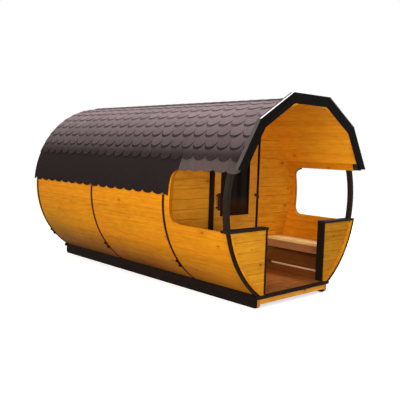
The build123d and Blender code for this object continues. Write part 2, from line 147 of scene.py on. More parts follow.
class Tree:
    """Adds and wires the nodes of one node tree."""

    def __init__(self, tree: bpy.types.NodeTree) -> None:
        """Keeps the tree that nodes are added to."""
        self.nodes = tree.nodes
        self.links = tree.links

    def put(self, socket: Socket, value: Value) -> None:
        """Feeds an input.

        Args:
            socket: The input.
            value: A socket to link, a plain value, or a colour, which gets full alpha.
        """
        if isinstance(value, Socket):
            self.links.new(value, socket)
        else:
            socket.default_value = (*value, 1.0) if socket.type == "RGBA" else value

    def add(self, kind: str, inputs: dict[str | int, Value] | None = None, **settings: Value) -> bpy.types.Node:
        """Adds one shader node.

        Args:
            kind: The node's type name after ShaderNode.
            inputs: Sockets or plain values for its inputs, by name or number.
            settings: Properties of the node.

        Returns:
            The new node.
        """
        node = self.nodes.new("ShaderNode" + kind)
        for name, value in settings.items():
            setattr(node, name, value)
        for name, value in (inputs or {}).items():
            self.put(node.inputs[name], value)
        return node

    def math(self, operation: str, *values: Value) -> Socket:
        """Returns the result of a math node."""
        return self.add("Math", dict(enumerate(values)), operation=operation).outputs[0]

    def plus(self, first: Value, second: Value) -> Socket:
        """Returns a sum."""
        return self.math("ADD", first, second)

    def minus(self, first: Value, second: Value) -> Socket:
        """Returns a difference."""
        return self.math("SUBTRACT", first, second)

    def times(self, first: Value, *others: Value) -> Socket:
        """Multiplies values.

        Args:
            first: The first value.
            others: The values that it is multiplied by, one after another.

        Returns:
            The product, which for masks is where all of them hold.
        """
        for other in others:
            first = self.math("MULTIPLY", first, other)
        return first

    def total(self, start: Value, parts: list[tuple[Value, float]]) -> Socket:
        """Adds up values by their weights.

        Args:
            start: What the sum starts from.
            parts: Values and their weights.

        Returns:
            The sum.
        """
        for value, weight in parts:
            start = self.math("MULTIPLY_ADD", value, weight, start)
        return start

    def size(self, value: Value) -> Socket:
        """Returns a value without its sign."""
        return self.math("ABSOLUTE", value)

    def above(self, value: Value, limit: Value) -> Socket:
        """Returns 1 where the value is over the limit, else 0."""
        return self.math("GREATER_THAN", value, limit)

    def below(self, value: Value, limit: Value) -> Socket:
        """Returns 1 where the value is under the limit, else 0."""
        return self.math("LESS_THAN", value, limit)

    def reach(self, first: Value, second: Value) -> Socket:
        """Returns the long side of a right-angled triangle with these short sides."""
        return self.math("SQRT", self.plus(self.math("POWER", first, 2.0), self.math("POWER", second, 2.0)))

    def step(self, value: Value, low: Value, high: Value) -> Socket:
        """Returns 0 below low and 1 above high, smooth between; high may be the smaller."""
        inputs = {"Value": value, "From Min": low, "From Max": high}
        return self.add("MapRange", inputs, interpolation_type="SMOOTHSTEP").outputs["Result"]

    def span(self, value: Value, low: float, high: float, start: float = 0.0, stop: float = 1.0) -> Socket:
        """Returns a value that runs from start to stop, stretched to run from low to high."""
        inputs = {"Value": value, "From Min": start, "From Max": stop, "To Min": low, "To Max": high}
        return self.add("MapRange", inputs).outputs["Result"]

    def mix(self, factor: Value, first: Value, second: Value, blend: str = "MIX") -> Socket:
        """Returns a mix of two colours."""
        return self.add("Mix", {0: factor, 6: first, 7: second}, data_type="RGBA", blend_type=blend).outputs[2]

    def vector(self, x: Value, y: Value, z: Value) -> Socket:
        """Returns a vector from three values."""
        return self.add("CombineXYZ", {0: x, 1: y, 2: z}).outputs[0]

    def channels(self, colour: Socket) -> Outputs:
        """Returns the three channels of a colour."""
        return self.add("SeparateColor", {0: colour}).outputs

    def noise(self, vector: Value, scale: float, detail: float = 2.0, rough: float = 0.55) -> Socket:
        """Returns a noise value from 0 to 1."""
        return self.add("TexNoise", {"Vector": vector, "Scale": scale, "Detail": detail, "Roughness": rough}).outputs[0]

    def attribute(self, name: str) -> Socket:
        """Returns a value that the mesh brings."""
        return self.add("Attribute", attribute_name=name).outputs["Fac"]

    @cached_property
    def place(self) -> Outputs:
        """Returns x, y and z of the point on the object, in metres."""
        return self.add("SeparateXYZ", {0: self.add("TexCoord").outputs["Object"]}).outputs

    def lengthwise(self) -> Socket:
        """Returns how squarely the surface faces along the barrel, either way, from 0 to 1."""
        return self.size(self.add("SeparateXYZ", {0: self.add("TexCoord").outputs["Normal"]}).outputs[1])

    def group(self, tree: bpy.types.NodeTree, inputs: dict[str, Value] | None = None) -> Outputs:
        """Returns the outputs of a node group that is placed with its inputs set."""
        return self.add("Group", inputs, node_tree=tree).outputs


class Effect:
    """A node group under construction, which several materials share."""

    def __init__(self, name: str, inputs: dict[str, float], outputs: tuple[str, ...]) -> None:
        """Makes the group with its sockets.

        Args:
            name: The group's name.
            inputs: Input sockets and their defaults.
            outputs: Output sockets, all plain values.
        """
        self.tree = bpy.data.node_groups.new(name, "ShaderNodeTree")
        for socket, default in inputs.items():
            made = self.tree.interface.new_socket(socket, in_out="INPUT", socket_type="NodeSocketFloat")
            made.default_value = default
        for socket in outputs:
            self.tree.interface.new_socket(socket, in_out="OUTPUT", socket_type="NodeSocketFloat")
        self.wires = Tree(self.tree)
        self.given = self.tree.nodes.new("NodeGroupInput").outputs
        self.result = self.tree.nodes.new("NodeGroupOutput").inputs

    def give(self, *values: Socket) -> bpy.types.NodeTree:
        """Wires the outputs.

        Args:
            values: A value for each output, in order.

        Returns:
            The finished group.
        """
        for socket, value in zip(self.result, values):
            self.wires.put(socket, value)
        return self.tree


class GrainRun(Enum):
    """The way the boards of a piece run."""

    STAVES = "staves"
    WALL = "wall"
    FLOOR = "floor"
    LENGTHWISE = "lengthwise"
    UPRIGHT = "upright"
    GABLE = "gable"


@cache
def run_effect(run: GrainRun) -> bpy.types.NodeTree:
    """Makes the group that gives the distance along, across and into the boards.

    Args:
        run: The way that the boards run.

    Returns:
        The group, made once for each way.
    """
    effect = Effect("run_" + run.value, {}, ("Along", "Across", "Depth"))
    wires = effect.wires
    x, y, z = wires.place
    up = wires.minus(z, AXIS_HEIGHT)
    turn = wires.times(wires.math("ARCTAN2", x, up), BARREL_RADIUS)
    reach = wires.reach(x, up)
    ways = {
        GrainRun.STAVES: (y, turn, reach),
        GrainRun.WALL: (x, wires.minus(up, BOARD_JOINT), y),
        GrainRun.FLOOR: (x, wires.minus(y, FRONT_END + FLOOR_JOINT), z),
        GrainRun.LENGTHWISE: (y, x, z),
        GrainRun.UPRIGHT: (z, x, y),
        GrainRun.GABLE: (turn, reach, y),
    }
    return effect.give(*ways[run])


@dataclass
class BoardGrain:
    """The marks of sawn pine boards, as one node group.

    Attributes:
        fibre_rate: Changes of the fibre to the metre, along the board and across it.
        bend_rate: The same for the bend of the rings.
        streak_rate: The same for the streaks.
        mottle_rate: The same for the mottle.
        streak_levels: Levels of the noise between which a streak comes in.
        mottle_levels: Levels of the noise between which the mottle does.
        rings: Least and greatest number of rings across a board.
        ring_bend: How many rings' width the bend moves them by.
        shuffle: Distance along by which one board's marks may be moved from the next one's.
        knot_room: Length of board that has one knot at most.
        knot_along: Shares of that length between which the knot lies.
        knot_aside: Share of the board's width over which knots are spread.
        knot_stretch: How much longer a knot is than it is wide.
        knot_size: Least and greatest radius of a knot.
        knot_edge: Shares of the radius at which a knot ends and is full.
        halo_edge: Share of the radius at which the darker wood round it ends.
        groove: Distances from a joint at which its dark line starts and is full.
        groove_break: Least and greatest strength of that line.
    """

    fibre_rate: Pair = (4.0, 190.0)
    bend_rate: Pair = (0.9, 6.0)
    streak_rate: Pair = (1.7, 34.0)
    mottle_rate: Pair = (7.0, 24.0)
    streak_levels: Pair = (0.30, 0.72)
    mottle_levels: Pair = (0.32, 0.68)
    rings: Pair = (4.0, 9.0)
    ring_bend: float = 8.0
    shuffle: float = 41.0
    knot_room: float = 0.40
    knot_along: Pair = (0.2, 0.8)
    knot_aside: float = 0.6
    knot_stretch: float = 1.35
    knot_size: Pair = (0.004, 0.013)
    knot_edge: Pair = (1.25, 0.6)
    halo_edge: float = 4.5
    groove: Pair = (0.0036, 0.0008)
    groove_break: Pair = (0.3, 1.1)

    def build(self) -> bpy.types.NodeTree:
        """Makes the group.

        Returns:
            The group: each board's own tone and hue, then fibre, figure, streak, mottle, knot, halo and joint.
        """
        inputs = {"Along": 0.0, "Across": 0.0, "Depth": 0.0, "Pitch": BOARD_PITCH, "Seed": 0.0, "Knots": 0.5}
        outputs = ("Tone", "Hue", "Fibre", "Figure", "Streak", "Mottle", "Knot", "Halo", "Joint")
        effect = Effect("board_grain", inputs, outputs)
        wires, given = effect.wires, effect.given
        scaled = wires.math("DIVIDE", given["Across"], given["Pitch"])
        index = wires.math("FLOOR", scaled)
        local = wires.minus(wires.minus(scaled, index), 0.5)
        seeded = wires.plus(index, given["Seed"])
        chance = wires.add("TexWhiteNoise", {"W": seeded}, noise_dimensions="1D")
        own = wires.channels(chance.outputs["Color"])
        along = wires.plus(given["Along"], wires.times(own[0], self.shuffle))

        fibre = self.stretched(wires, along, given, self.fibre_rate, 3.0, 0.6)
        bend = self.stretched(wires, along, given, self.bend_rate, 2.0, 0.55)
        streak = wires.step(self.stretched(wires, along, given, self.streak_rate, 4.0, 0.65), *self.streak_levels)
        mottle = wires.step(self.stretched(wires, along, given, self.mottle_rate, 3.0, 0.6), *self.mottle_levels)
        lines = wires.plus(wires.times(local, wires.span(own[1], *self.rings)), wires.times(bend, self.ring_bend))
        figure = wires.span(wires.math("SINE", wires.times(lines, math.tau)), 0.5, 1.0)
        knot, halo = self.knots(wires, along, local, seeded, given)

        edge = wires.times(wires.minus(0.5, wires.size(local)), given["Pitch"])
        broken = wires.noise(wires.vector(wires.times(along, 3.0), seeded, 0.0), 1.0)
        joint = wires.times(wires.step(edge, *self.groove), wires.span(broken, *self.groove_break))
        return effect.give(own[2], own[1], fibre, figure, streak, mottle, knot, halo, joint)

    def stretched(self, wires: Tree, along: Socket, given: Outputs, rate: Pair, detail: float, rough: float) -> Socket:
        """Makes noise that is drawn out along the board.

        Args:
            wires: The group's wiring.
            along: Distance along the board.
            given: The group's inputs.
            rate: How fast it changes along the board and across it.
            detail: The noise's detail.
            rough: The noise's roughness.

        Returns:
            The noise, from 0 to 1.
        """
        across, depth = (wires.times(given[name], rate[1]) for name in ("Across", "Depth"))
        return wires.noise(wires.vector(wires.times(along, rate[0]), across, depth), 1.0, detail, rough)

    def knots(self, wires: Tree, along: Socket, local: Socket, seeded: Socket, given: Outputs) -> tuple[Socket, Socket]:
        """Makes the knots, at most one in each stretch of a board.

        Args:
            wires: The group's wiring.
            along: Distance along the board.
            local: Place across the board, from -0.5 to 0.5.
            seeded: The board's own number.
            given: The group's inputs.

        Returns:
            The knots' mask and that of the darker wood round them.
        """
        cell = wires.math("FLOOR", wires.math("DIVIDE", along, self.knot_room))
        chance = wires.add("TexWhiteNoise", {"Vector": wires.vector(cell, seeded, 7.0)})
        own = wires.channels(chance.outputs["Color"])
        middle = wires.times(wires.plus(cell, wires.span(own[0], *self.knot_along)), self.knot_room)
        aside = wires.times(wires.minus(own[1], 0.5), self.knot_aside)
        gap_along = wires.math("DIVIDE", wires.minus(along, middle), self.knot_stretch)
        gap_across = wires.times(wires.minus(local, aside), given["Pitch"])
        distance = wires.reach(gap_along, gap_across)
        size = wires.span(own[2], *self.knot_size)
        present = wires.below(chance.outputs["Value"], given["Knots"])
        outer, inner = (wires.times(size, share) for share in self.knot_edge)
        knot = wires.times(wires.step(distance, outer, inner), present)
        return knot, wires.times(wires.step(distance, wires.times(size, self.halo_edge), size), present)


@cache
def board_effect() -> bpy.types.NodeTree:
    """Returns the group for sawn pine boards, made once."""
    return BoardGrain().build()


@cache
def weather_effect() -> bpy.types.NodeTree:
    """Makes the group for soft blotches and fine scuffs over any surface.

    Returns:
        The group, made once.
    """
    effect = Effect("weathering", {"Size": 0.5}, ("Blotch", "Scuff"))
    wires = effect.wires
    place = wires.vector(*wires.place)
    rate = wires.math("DIVIDE", 1.0, effect.given["Size"])
    scaled = wires.add("VectorMath", {0: place, "Scale": rate}, operation="SCALE").outputs[0]
    blotch = wires.noise(scaled, 1.0, 3.0, 0.5)
    return effect.give(blotch, wires.step(wires.noise(place, SCUFF_RATE, 4.0, 0.7), *SCUFF_LEVELS))


@cache
def granule_effect() -> bpy.types.NodeTree:
    """Makes the group for mineral granules on roofing felt.

    Returns:
        The group, made once.
    """
    effect = Effect("granules", {}, ("Speckle", "Drift"))
    wires = effect.wires
    place = wires.vector(*wires.place)
    cells = wires.add("TexVoronoi", {"Vector": place, "Scale": GRANULE_RATE})
    speckle = wires.channels(cells.outputs["Color"])[0]
    return effect.give(speckle, wires.noise(place, DRIFT_RATE, 3.0, 0.6))


@dataclass(frozen=True)
class Finish:
    """A material.

    Attributes:
        name: Its name.
        gloss: Level of its plain reflection.
    """

    name: str
    gloss: float = field(default=0.03, kw_only=True)

    def start(self) -> tuple[Material, Tree, bpy.types.Node]:
        """Starts the material.

        Returns:
            The new material, its wiring and its shader.
        """
        material = bpy.data.materials.new(self.name)
        material.use_nodes = True
        material.node_tree.nodes.clear()
        wires = Tree(material.node_tree)
        shader = wires.add("BsdfPrincipled", {"Specular IOR Level": self.gloss})
        wires.add("OutputMaterial", {"Surface": shader.outputs[0]})
        return material, wires, shader

    def bump(self, wires: Tree, shader: bpy.types.Node, height: Value, depth: float, strength: float) -> None:
        """Wires a height into the shader's normal.

        Args:
            wires: The material's wiring.
            shader: Its shader.
            height: Where the surface stands up.
            depth: How far it does so, in metres.
            strength: How much of that shows.
        """
        inputs = {"Height": height, "Distance": depth, "Strength": strength}
        wires.put(shader.inputs["Normal"], wires.add("Bump", inputs).outputs[0])

    def build(self) -> Material:
        """Returns the material."""
        raise NotImplementedError


@dataclass(frozen=True)
class StainedBoards(Finish):
    """Boards under a transparent stain, with grain, knots and dark joints.

    Attributes:
        run: The way that the boards run.
        light: Colour of the palest wood.
        deep: Colour of the darkest wood.
        knot: Colour of the knots.
        end: Colour of the end grain, of the painted sunlit line and of what lies past edge_at.
        pitch: Width of a board.
        seed: Picks each board's own marks.
        knots: Share of the places for a knot that have one.
        joint: How dark the joints are.
        contrast: Strength of the grain.
        end_grain: How much the faces across the barrel show the end colour.
        ground_shade: Strength of the painted shade near the ground, least at the front; at the back a painted olive
            reflection of the grass also shows.
        inside: Strength of the painted shade on the inner side low down, under the benches.
        under_bench_shade_level: Height over the axis below which that painted shade lies.
        under_bench_shade_from: Distance from the middle at which the painted shade starts.
        under_bench_shade_colour: Colour of the painted shade.
        line: Heights between which a painted line of sunlight has the end colour.
        sunlit_line_end: Place along the barrel at which that painted sunlit line stops.
        edge_at: Distance from the middle past which all has the end colour.
        capped: Radius past which the front ends are black.
        cut_face_shade: Strength of the painted shade on the faces that were cut across the boards.
        bands: Places of the steel bands, which have a painted contact shadow, partly rust staining, on each side.
        rough: Middle of the roughness.
    """

    run: GrainRun
    light: Colour = (0.90, 0.365, 0.016)
    deep: Colour = (0.55, 0.160, 0.005)
    knot: Colour = (0.20, 0.046, 0.005)
    end: Colour = (0.80, 0.36, 0.05)
    pitch: float = BOARD_PITCH
    seed: float = 0.0
    knots: float = 0.30
    joint: float = 0.55
    contrast: float = 1.0
    end_grain: float = 0.0
    ground_shade: float = 0.0
    inside: float = 0.0
    under_bench_shade_level: float = -0.55
    under_bench_shade_from: float = 0.0
    under_bench_shade_colour: Colour = (0.17, 0.050, 0.012)
    line: Pair | None = None
    sunlit_line_end: float = 9.0
    edge_at: float = 0.0
    capped: float = 0.0
    cut_face_shade: float = 0.0
    bands: tuple[float, ...] = ()
    rough: float = 0.48

    def build(self) -> Material:
        """Makes the material, with its colour, sheen and relief from the board grain.

        Returns:
            The material.
        """
        material, wires, shader = self.start()
        run = wires.group(run_effect(self.run))
        ways = {"Along": run[0], "Across": run[1], "Depth": run[2]}
        inputs = {"Pitch": self.pitch, "Seed": self.seed, "Knots": self.knots}
        grain = wires.group(board_effect(), ways | inputs)
        blotch = wires.group(weather_effect(), {"Size": 0.45})["Blotch"]
        colour = self.wood(wires, grain, blotch)
        for mask, stain in self.stains(wires, run, blotch):
            colour = wires.mix(mask, colour, stain)
        colour = wires.mix(wires.times(grain["Joint"], self.joint), colour, shade(self.knot, 0.5))
        wires.put(shader.inputs["Base Color"], colour)
        wires.put(shader.inputs["Roughness"], wires.span(grain["Fibre"], self.rough - 0.1, self.rough + 0.16))
        relief = wires.total(wires.times(grain["Fibre"], 0.5), [(grain["Joint"], -2.0)])
        self.bump(wires, shader, relief, depth=0.0012, strength=0.6)
        return material

    def wood(self, wires: Tree, grain: Outputs, blotch: Socket) -> Socket:
        """Makes the colour of the boards, without joints and stains.

        Args:
            wires: The material's wiring.
            grain: Outputs of the board grain.
            blotch: Soft blotches, from 0 to 1.

        Returns:
            The colour.
        """
        figure, *others = [(grain[name], share * self.contrast) for name, share in GRAIN_SHARES.items()]
        amount = wires.total(wires.times(*figure), others + [(blotch, BLOTCH_SHARE * self.contrast)])
        amount = wires.minus(amount, GRAIN_LEVEL * self.contrast)
        colour = wires.mix(amount, self.light, self.deep)
        warm = tuple(channel * shift for channel, shift in zip(self.light, WARM_SHIFT))
        colour = wires.mix(wires.times(grain["Hue"], WARM_SHARE * self.contrast), colour, warm)
        colour = wires.mix(wires.times(grain["Halo"], HALO_SHARE), colour, shade(self.deep, 0.75))
        return wires.mix(wires.times(grain["Knot"], KNOT_SHARE), colour, self.knot)

    def stains(self, wires: Tree, run: Outputs, blotch: Socket) -> Iterator[tuple[Socket, Colour]]:
        """Gives the stains that lie over the wood, in order, each where this finish has it.

        Args:
            wires: The material's wiring.
            run: Distances along, across and into the boards.
            blotch: Soft blotches, from 0 to 1.

        Returns:
            The masks with their colours.
        """
        # painted shade and painted grass reflection near the ground
        if self.ground_shade:
            yield from self.ground_shade_and_reflection(wires, run, blotch)
        # painted shade on the inner side low down, under the benches
        if self.inside:
            x, y, z = wires.place
            within = wires.times(wires.below(z, AXIS_HEIGHT + self.under_bench_shade_level), wires.below(run[2], INNER_RADIUS))
            behind = wires.above(y, FRONT_END + INNER_START)
            behind = wires.times(behind, wires.above(wires.size(x), self.under_bench_shade_from))
            yield wires.times(within, behind, self.inside), self.under_bench_shade_colour
        # painted line of sunlight along the batten
        if self.line:
            low, high = self.line
            between = wires.times(wires.above(wires.place[2], low), wires.below(wires.place[2], high))
            yield wires.times(between, wires.below(run[0], self.sunlit_line_end)), self.end
        # painted contact shadow beside each band, partly rust staining
        for band in self.bands:
            gap = wires.size(wires.minus(run[0], band))
            yield wires.times(wires.step(gap, *BAND_REACH), BAND_SHADOW_AND_RUST_STRENGTH), BAND_SHADOW_AND_RUST
        # painted shade on the faces cut across the staves behind the front end
        if self.cut_face_shade:
            behind = wires.above(wires.place[1], FRONT_END + CUT_START)
            mask = wires.times(wires.step(wires.lengthwise(), *CUT_FACING), behind, self.cut_face_shade)
            yield mask, shade(self.deep, 0.62)
        if self.capped:
            ahead = wires.below(wires.place[1], FRONT_END + END_FACE)
            yield wires.times(ahead, wires.above(run[2], self.capped)), BLACK_STAIN
        if self.edge_at:
            yield wires.above(wires.size(wires.place[0]), self.edge_at), self.end
        if self.end_grain:
            yield wires.times(wires.step(wires.lengthwise(), *END_FACING), self.end_grain), self.end

    def ground_shade_and_reflection(self, wires: Tree, run: Outputs, blotch: Socket) -> list[tuple[Socket, Colour]]:
        """Makes the painted olive reflection of the grass and the painted shade on the wood near the ground.

        Args:
            wires: The material's wiring.
            run: Distances along, across and into the boards.
            blotch: Soft blotches, which make the upper edge uneven.

        Returns:
            Both masks with their colours.
        """
        uneven_height = wires.total(wires.minus(wires.place[2], 0.15), [(blotch, 0.3)])
        olive = wires.times(wires.step(uneven_height, *GRASS_REFLECTION_LEVELS), wires.step(run[0], *GRASS_REFLECTION_GROWTH))
        growth = wires.times(wires.span(run[0], GROUND_SHADE_LEAST, 1.0, *GROUND_SHADE_GROWTH), self.ground_shade)
        dark = wires.times(wires.step(uneven_height, *GROUND_SHADE_LEVELS), growth)
        return [(wires.times(olive, 0.5), GRASS_REFLECTION), (dark, shade(self.deep, 0.35))]


@dataclass(frozen=True)
class DarkStain(Finish):
    """Planed trim under a near-black brown stain."""

    run: GrainRun
    base: Colour = (0.0110, 0.0062, 0.0036)
    worn: Colour = (0.036, 0.025, 0.018)
    wear: float = 0.5
    rough: float = 0.5

    def build(self) -> Material:
        """Makes the material, with streaks of grain and worn patches.

        Returns:
            The material.
        """
        material, wires, shader = self.start()
        run = wires.group(run_effect(self.run))
        inputs = {"Along": run[0], "Across": run[1], "Depth": run[2], "Pitch": 0.4, "Knots": 0.0}
        fibre = wires.group(board_effect(), inputs)["Fibre"]
        weather = wires.group(weather_effect(), {"Size": 0.3})
        amount = wires.total(wires.times(fibre, weather["Blotch"]), [(weather["Scuff"], 0.35)])
        wires.put(shader.inputs["Base Color"], wires.mix(wires.times(amount, self.wear), self.base, self.worn))
        wires.put(shader.inputs["Roughness"], wires.span(fibre, self.rough - 0.12, self.rough + 0.2))
        self.bump(wires, shader, fibre, depth=0.0008, strength=0.5)
        return material


@dataclass(frozen=True)
class RoofingFelt(Finish):
    """Granule-faced felt shingles with a shadow painted below each lap, partly the felt's printed shadow band and
    partly painted shade.

    Attributes:
        base: Colour at the top of the roof, where no painted shade lies.
        low: Painted shade colour lower down the slope, if it is another.
        foot: Painted shade colour at the foot of the slope, if it is another.
        drift: Strength of the slow change of tone.
        lap_shadow: Strength of the painted shadow below each lap, partly a printed band.
        sheen: Strength of the dusty sheen.
        slope_shade_levels: Heights between which the base colour turns into the low one, as painted shade.
        foot_shade_levels: Heights between which the foot's painted shade takes over.
        lap_reach: Distances from the lap between which its shadow comes in.
    """

    base: Colour
    low: Colour | None = None
    foot: Colour | None = None
    drift: float = 0.35
    lap_shadow: float = 0.9
    sheen: float = 0.25
    slope_shade_levels: Pair = (AXIS_HEIGHT + 1.02, AXIS_HEIGHT + 0.55)
    foot_shade_levels: Pair = (AXIS_HEIGHT + 0.60, AXIS_HEIGHT + 0.47)
    lap_reach: Pair = (0.038, 0.017)

    def build(self) -> Material:
        """Makes the material, with a tone for each tab, granules and the lap's shadow.

        Returns:
            The material.
        """
        material, wires, shader = self.start()
        granules = wires.group(granule_effect())
        blotch = wires.group(weather_effect(), {"Size": 0.8})["Blotch"]
        tone = wires.attribute("tab_tone")
        level = wires.math("MULTIPLY_ADD", tone, 0.18, 0.90)
        shares = [(granules["Speckle"], 0.42), (granules["Drift"], self.drift), (blotch, 0.4)]
        level = wires.total(level, [(wires.minus(value, 0.5), share) for value, share in shares])
        grey = wires.add("CombineColor", {0: level, 1: level, 2: level}).outputs[0]
        # painted shade: the roof darker down the slope and darkest at its foot
        slope = wires.step(wires.place[2], *self.slope_shade_levels)
        colour = wires.mix(slope, self.base, self.low or self.base)
        colour = wires.mix(wires.step(wires.place[2], *self.foot_shade_levels), colour, self.foot or self.base)
        colour = wires.mix(1.0, colour, grey, "MULTIPLY")
        # painted shadow below each lap, weaker towards the top where more light falls
        strength = wires.times(wires.span(slope, 0.6 * self.lap_shadow, self.lap_shadow), wires.span(tone, 0.72, 1.0))
        shadow = wires.times(wires.step(wires.attribute("lap"), *self.lap_reach), strength)
        wires.put(shader.inputs["Base Color"], wires.mix(shadow, colour, shade(self.base, 0.06)))
        wires.put(shader.inputs["Roughness"], wires.span(granules["Speckle"], 0.68, 0.95))
        wires.put(shader.inputs["Sheen Weight"], self.sheen)
        wires.put(shader.inputs["Sheen Roughness"], 0.45)
        wires.put(shader.inputs["Sheen Tint"], (1.0, 0.82, 0.84))
        self.bump(wires, shader, granules["Speckle"], depth=0.0012, strength=0.7)
        return material


@dataclass(frozen=True)
class Metal(Finish):
    """Sheet or bar steel with dull patches."""

    base: Colour
    worn: Colour
    metallic: float = 1.0
    rough: float = 0.4

    def build(self) -> Material:
        """Makes the material, with blotched colour and roughness.

        Returns:
            The material.
        """
        material, wires, shader = self.start()
        weather = wires.group(weather_effect(), {"Size": 0.12})
        amount = wires.total(wires.times(weather["Blotch"], 0.6), [(weather["Scuff"], 0.4)])
        wires.put(shader.inputs["Base Color"], self.coat(wires, wires.mix(amount, self.base, self.worn)))
        wires.put(shader.inputs["Roughness"], wires.span(weather["Blotch"], self.rough - 0.12, self.rough + 0.2))
        wires.put(shader.inputs["Metallic"], self.metallic)
        self.bump(wires, shader, weather["Blotch"], depth=0.0008, strength=0.3)
        return material

    def coat(self, wires: Tree, bare: Socket) -> Socket:
        """Returns the colour of the metal's coat, which is the bare metal's own here."""
        return bare


@dataclass(frozen=True)
class FadedSheet(Metal):
    """Coated sheet, bleached pale on the upper slopes and dark on its front lip.

    Attributes:
        faded: The bleached colour.
        lip: Colour of the front lip.
        slope: Angle from the top up to which the sheet is bleached.
        crest: Angle from the top at which that starts.
        pale_end: Place along the barrel behind which nothing is bleached.
    """

    faded: Colour = (0.80, 0.78, 0.74)
    lip: Colour = (0.014, 0.011, 0.010)
    slope: float = 43.0
    crest: float = 15.0
    pale_end: float = FRONT_END - 0.087

    def coat(self, wires: Tree, bare: Socket) -> Socket:
        """Makes the coat's colour from the slope that the sheet lies on.

        Args:
            wires: The material's wiring.
            bare: Colour of the sheet where it hasn't faded.

        Returns:
            The colour.
        """
        x, y, z = wires.place
        degrees = wires.math("DEGREES", wires.size(wires.math("ARCTAN2", x, wires.minus(z, AXIS_HEIGHT))))
        below = wires.step(degrees, self.slope + 0.6, self.slope - 0.2)
        upper = wires.times(below, wires.step(degrees, self.crest - 1.0, self.crest + 1.0))
        colour = wires.mix(wires.times(upper, wires.below(y, self.pale_end)), bare, self.faded)
        return wires.mix(wires.step(wires.lengthwise(), *LIP_FACING), colour, self.lip)


@dataclass(frozen=True)
class DarkGlass(Finish):
    """Tinted glazing in front of an unlit room.

    Attributes:
        tint: Colour of the glass.
        glow: Colour of a painted reddish reflection low down.
        painted_reflection_levels: Heights between which that comes in.
    """

    tint: Colour = (0.0060, 0.0040, 0.0030)
    glow: Colour = (0.032, 0.011, 0.006)
    painted_reflection_levels: Pair = (AXIS_HEIGHT + 0.02, AXIS_HEIGHT - 0.08)

    def build(self) -> Material:
        """Makes the material: a dark body with a clear reflection, a painted reddish reflection low down and faint
        smears.

        Returns:
            The material.
        """
        material, wires, shader = self.start()
        weather = wires.group(weather_effect(), {"Size": 0.35})
        colour = wires.mix(weather["Blotch"], self.tint, shade(self.tint, 2.2))
        # painted reddish reflection low on the glass
        low = wires.times(wires.step(wires.place[2], *self.painted_reflection_levels), 0.8)
        wires.put(shader.inputs["Base Color"], wires.mix(low, colour, self.glow))
        wires.put(shader.inputs["Roughness"], wires.span(weather["Scuff"], 0.04, 0.10))
        return material


def on_barrel(radius: float, angle: float, along: float) -> Point:
    """Gives a point on or over the barrel.

    Args:
        radius: Distance from the axis.
        angle: Angle from the top in degrees, rising to the right.
        along: Distance from the front end.

    Returns:
        The point.
    """
    turn = math.radians(angle)
    return radius * math.sin(turn), FRONT_END + along, AXIS_HEIGHT + radius * math.cos(turn)


class RoofSkin(Enum):
    """Where a shingle lies on the roof, as its material number."""

    FIELD = 0
    SKIRT = 1
    HANGING = 2


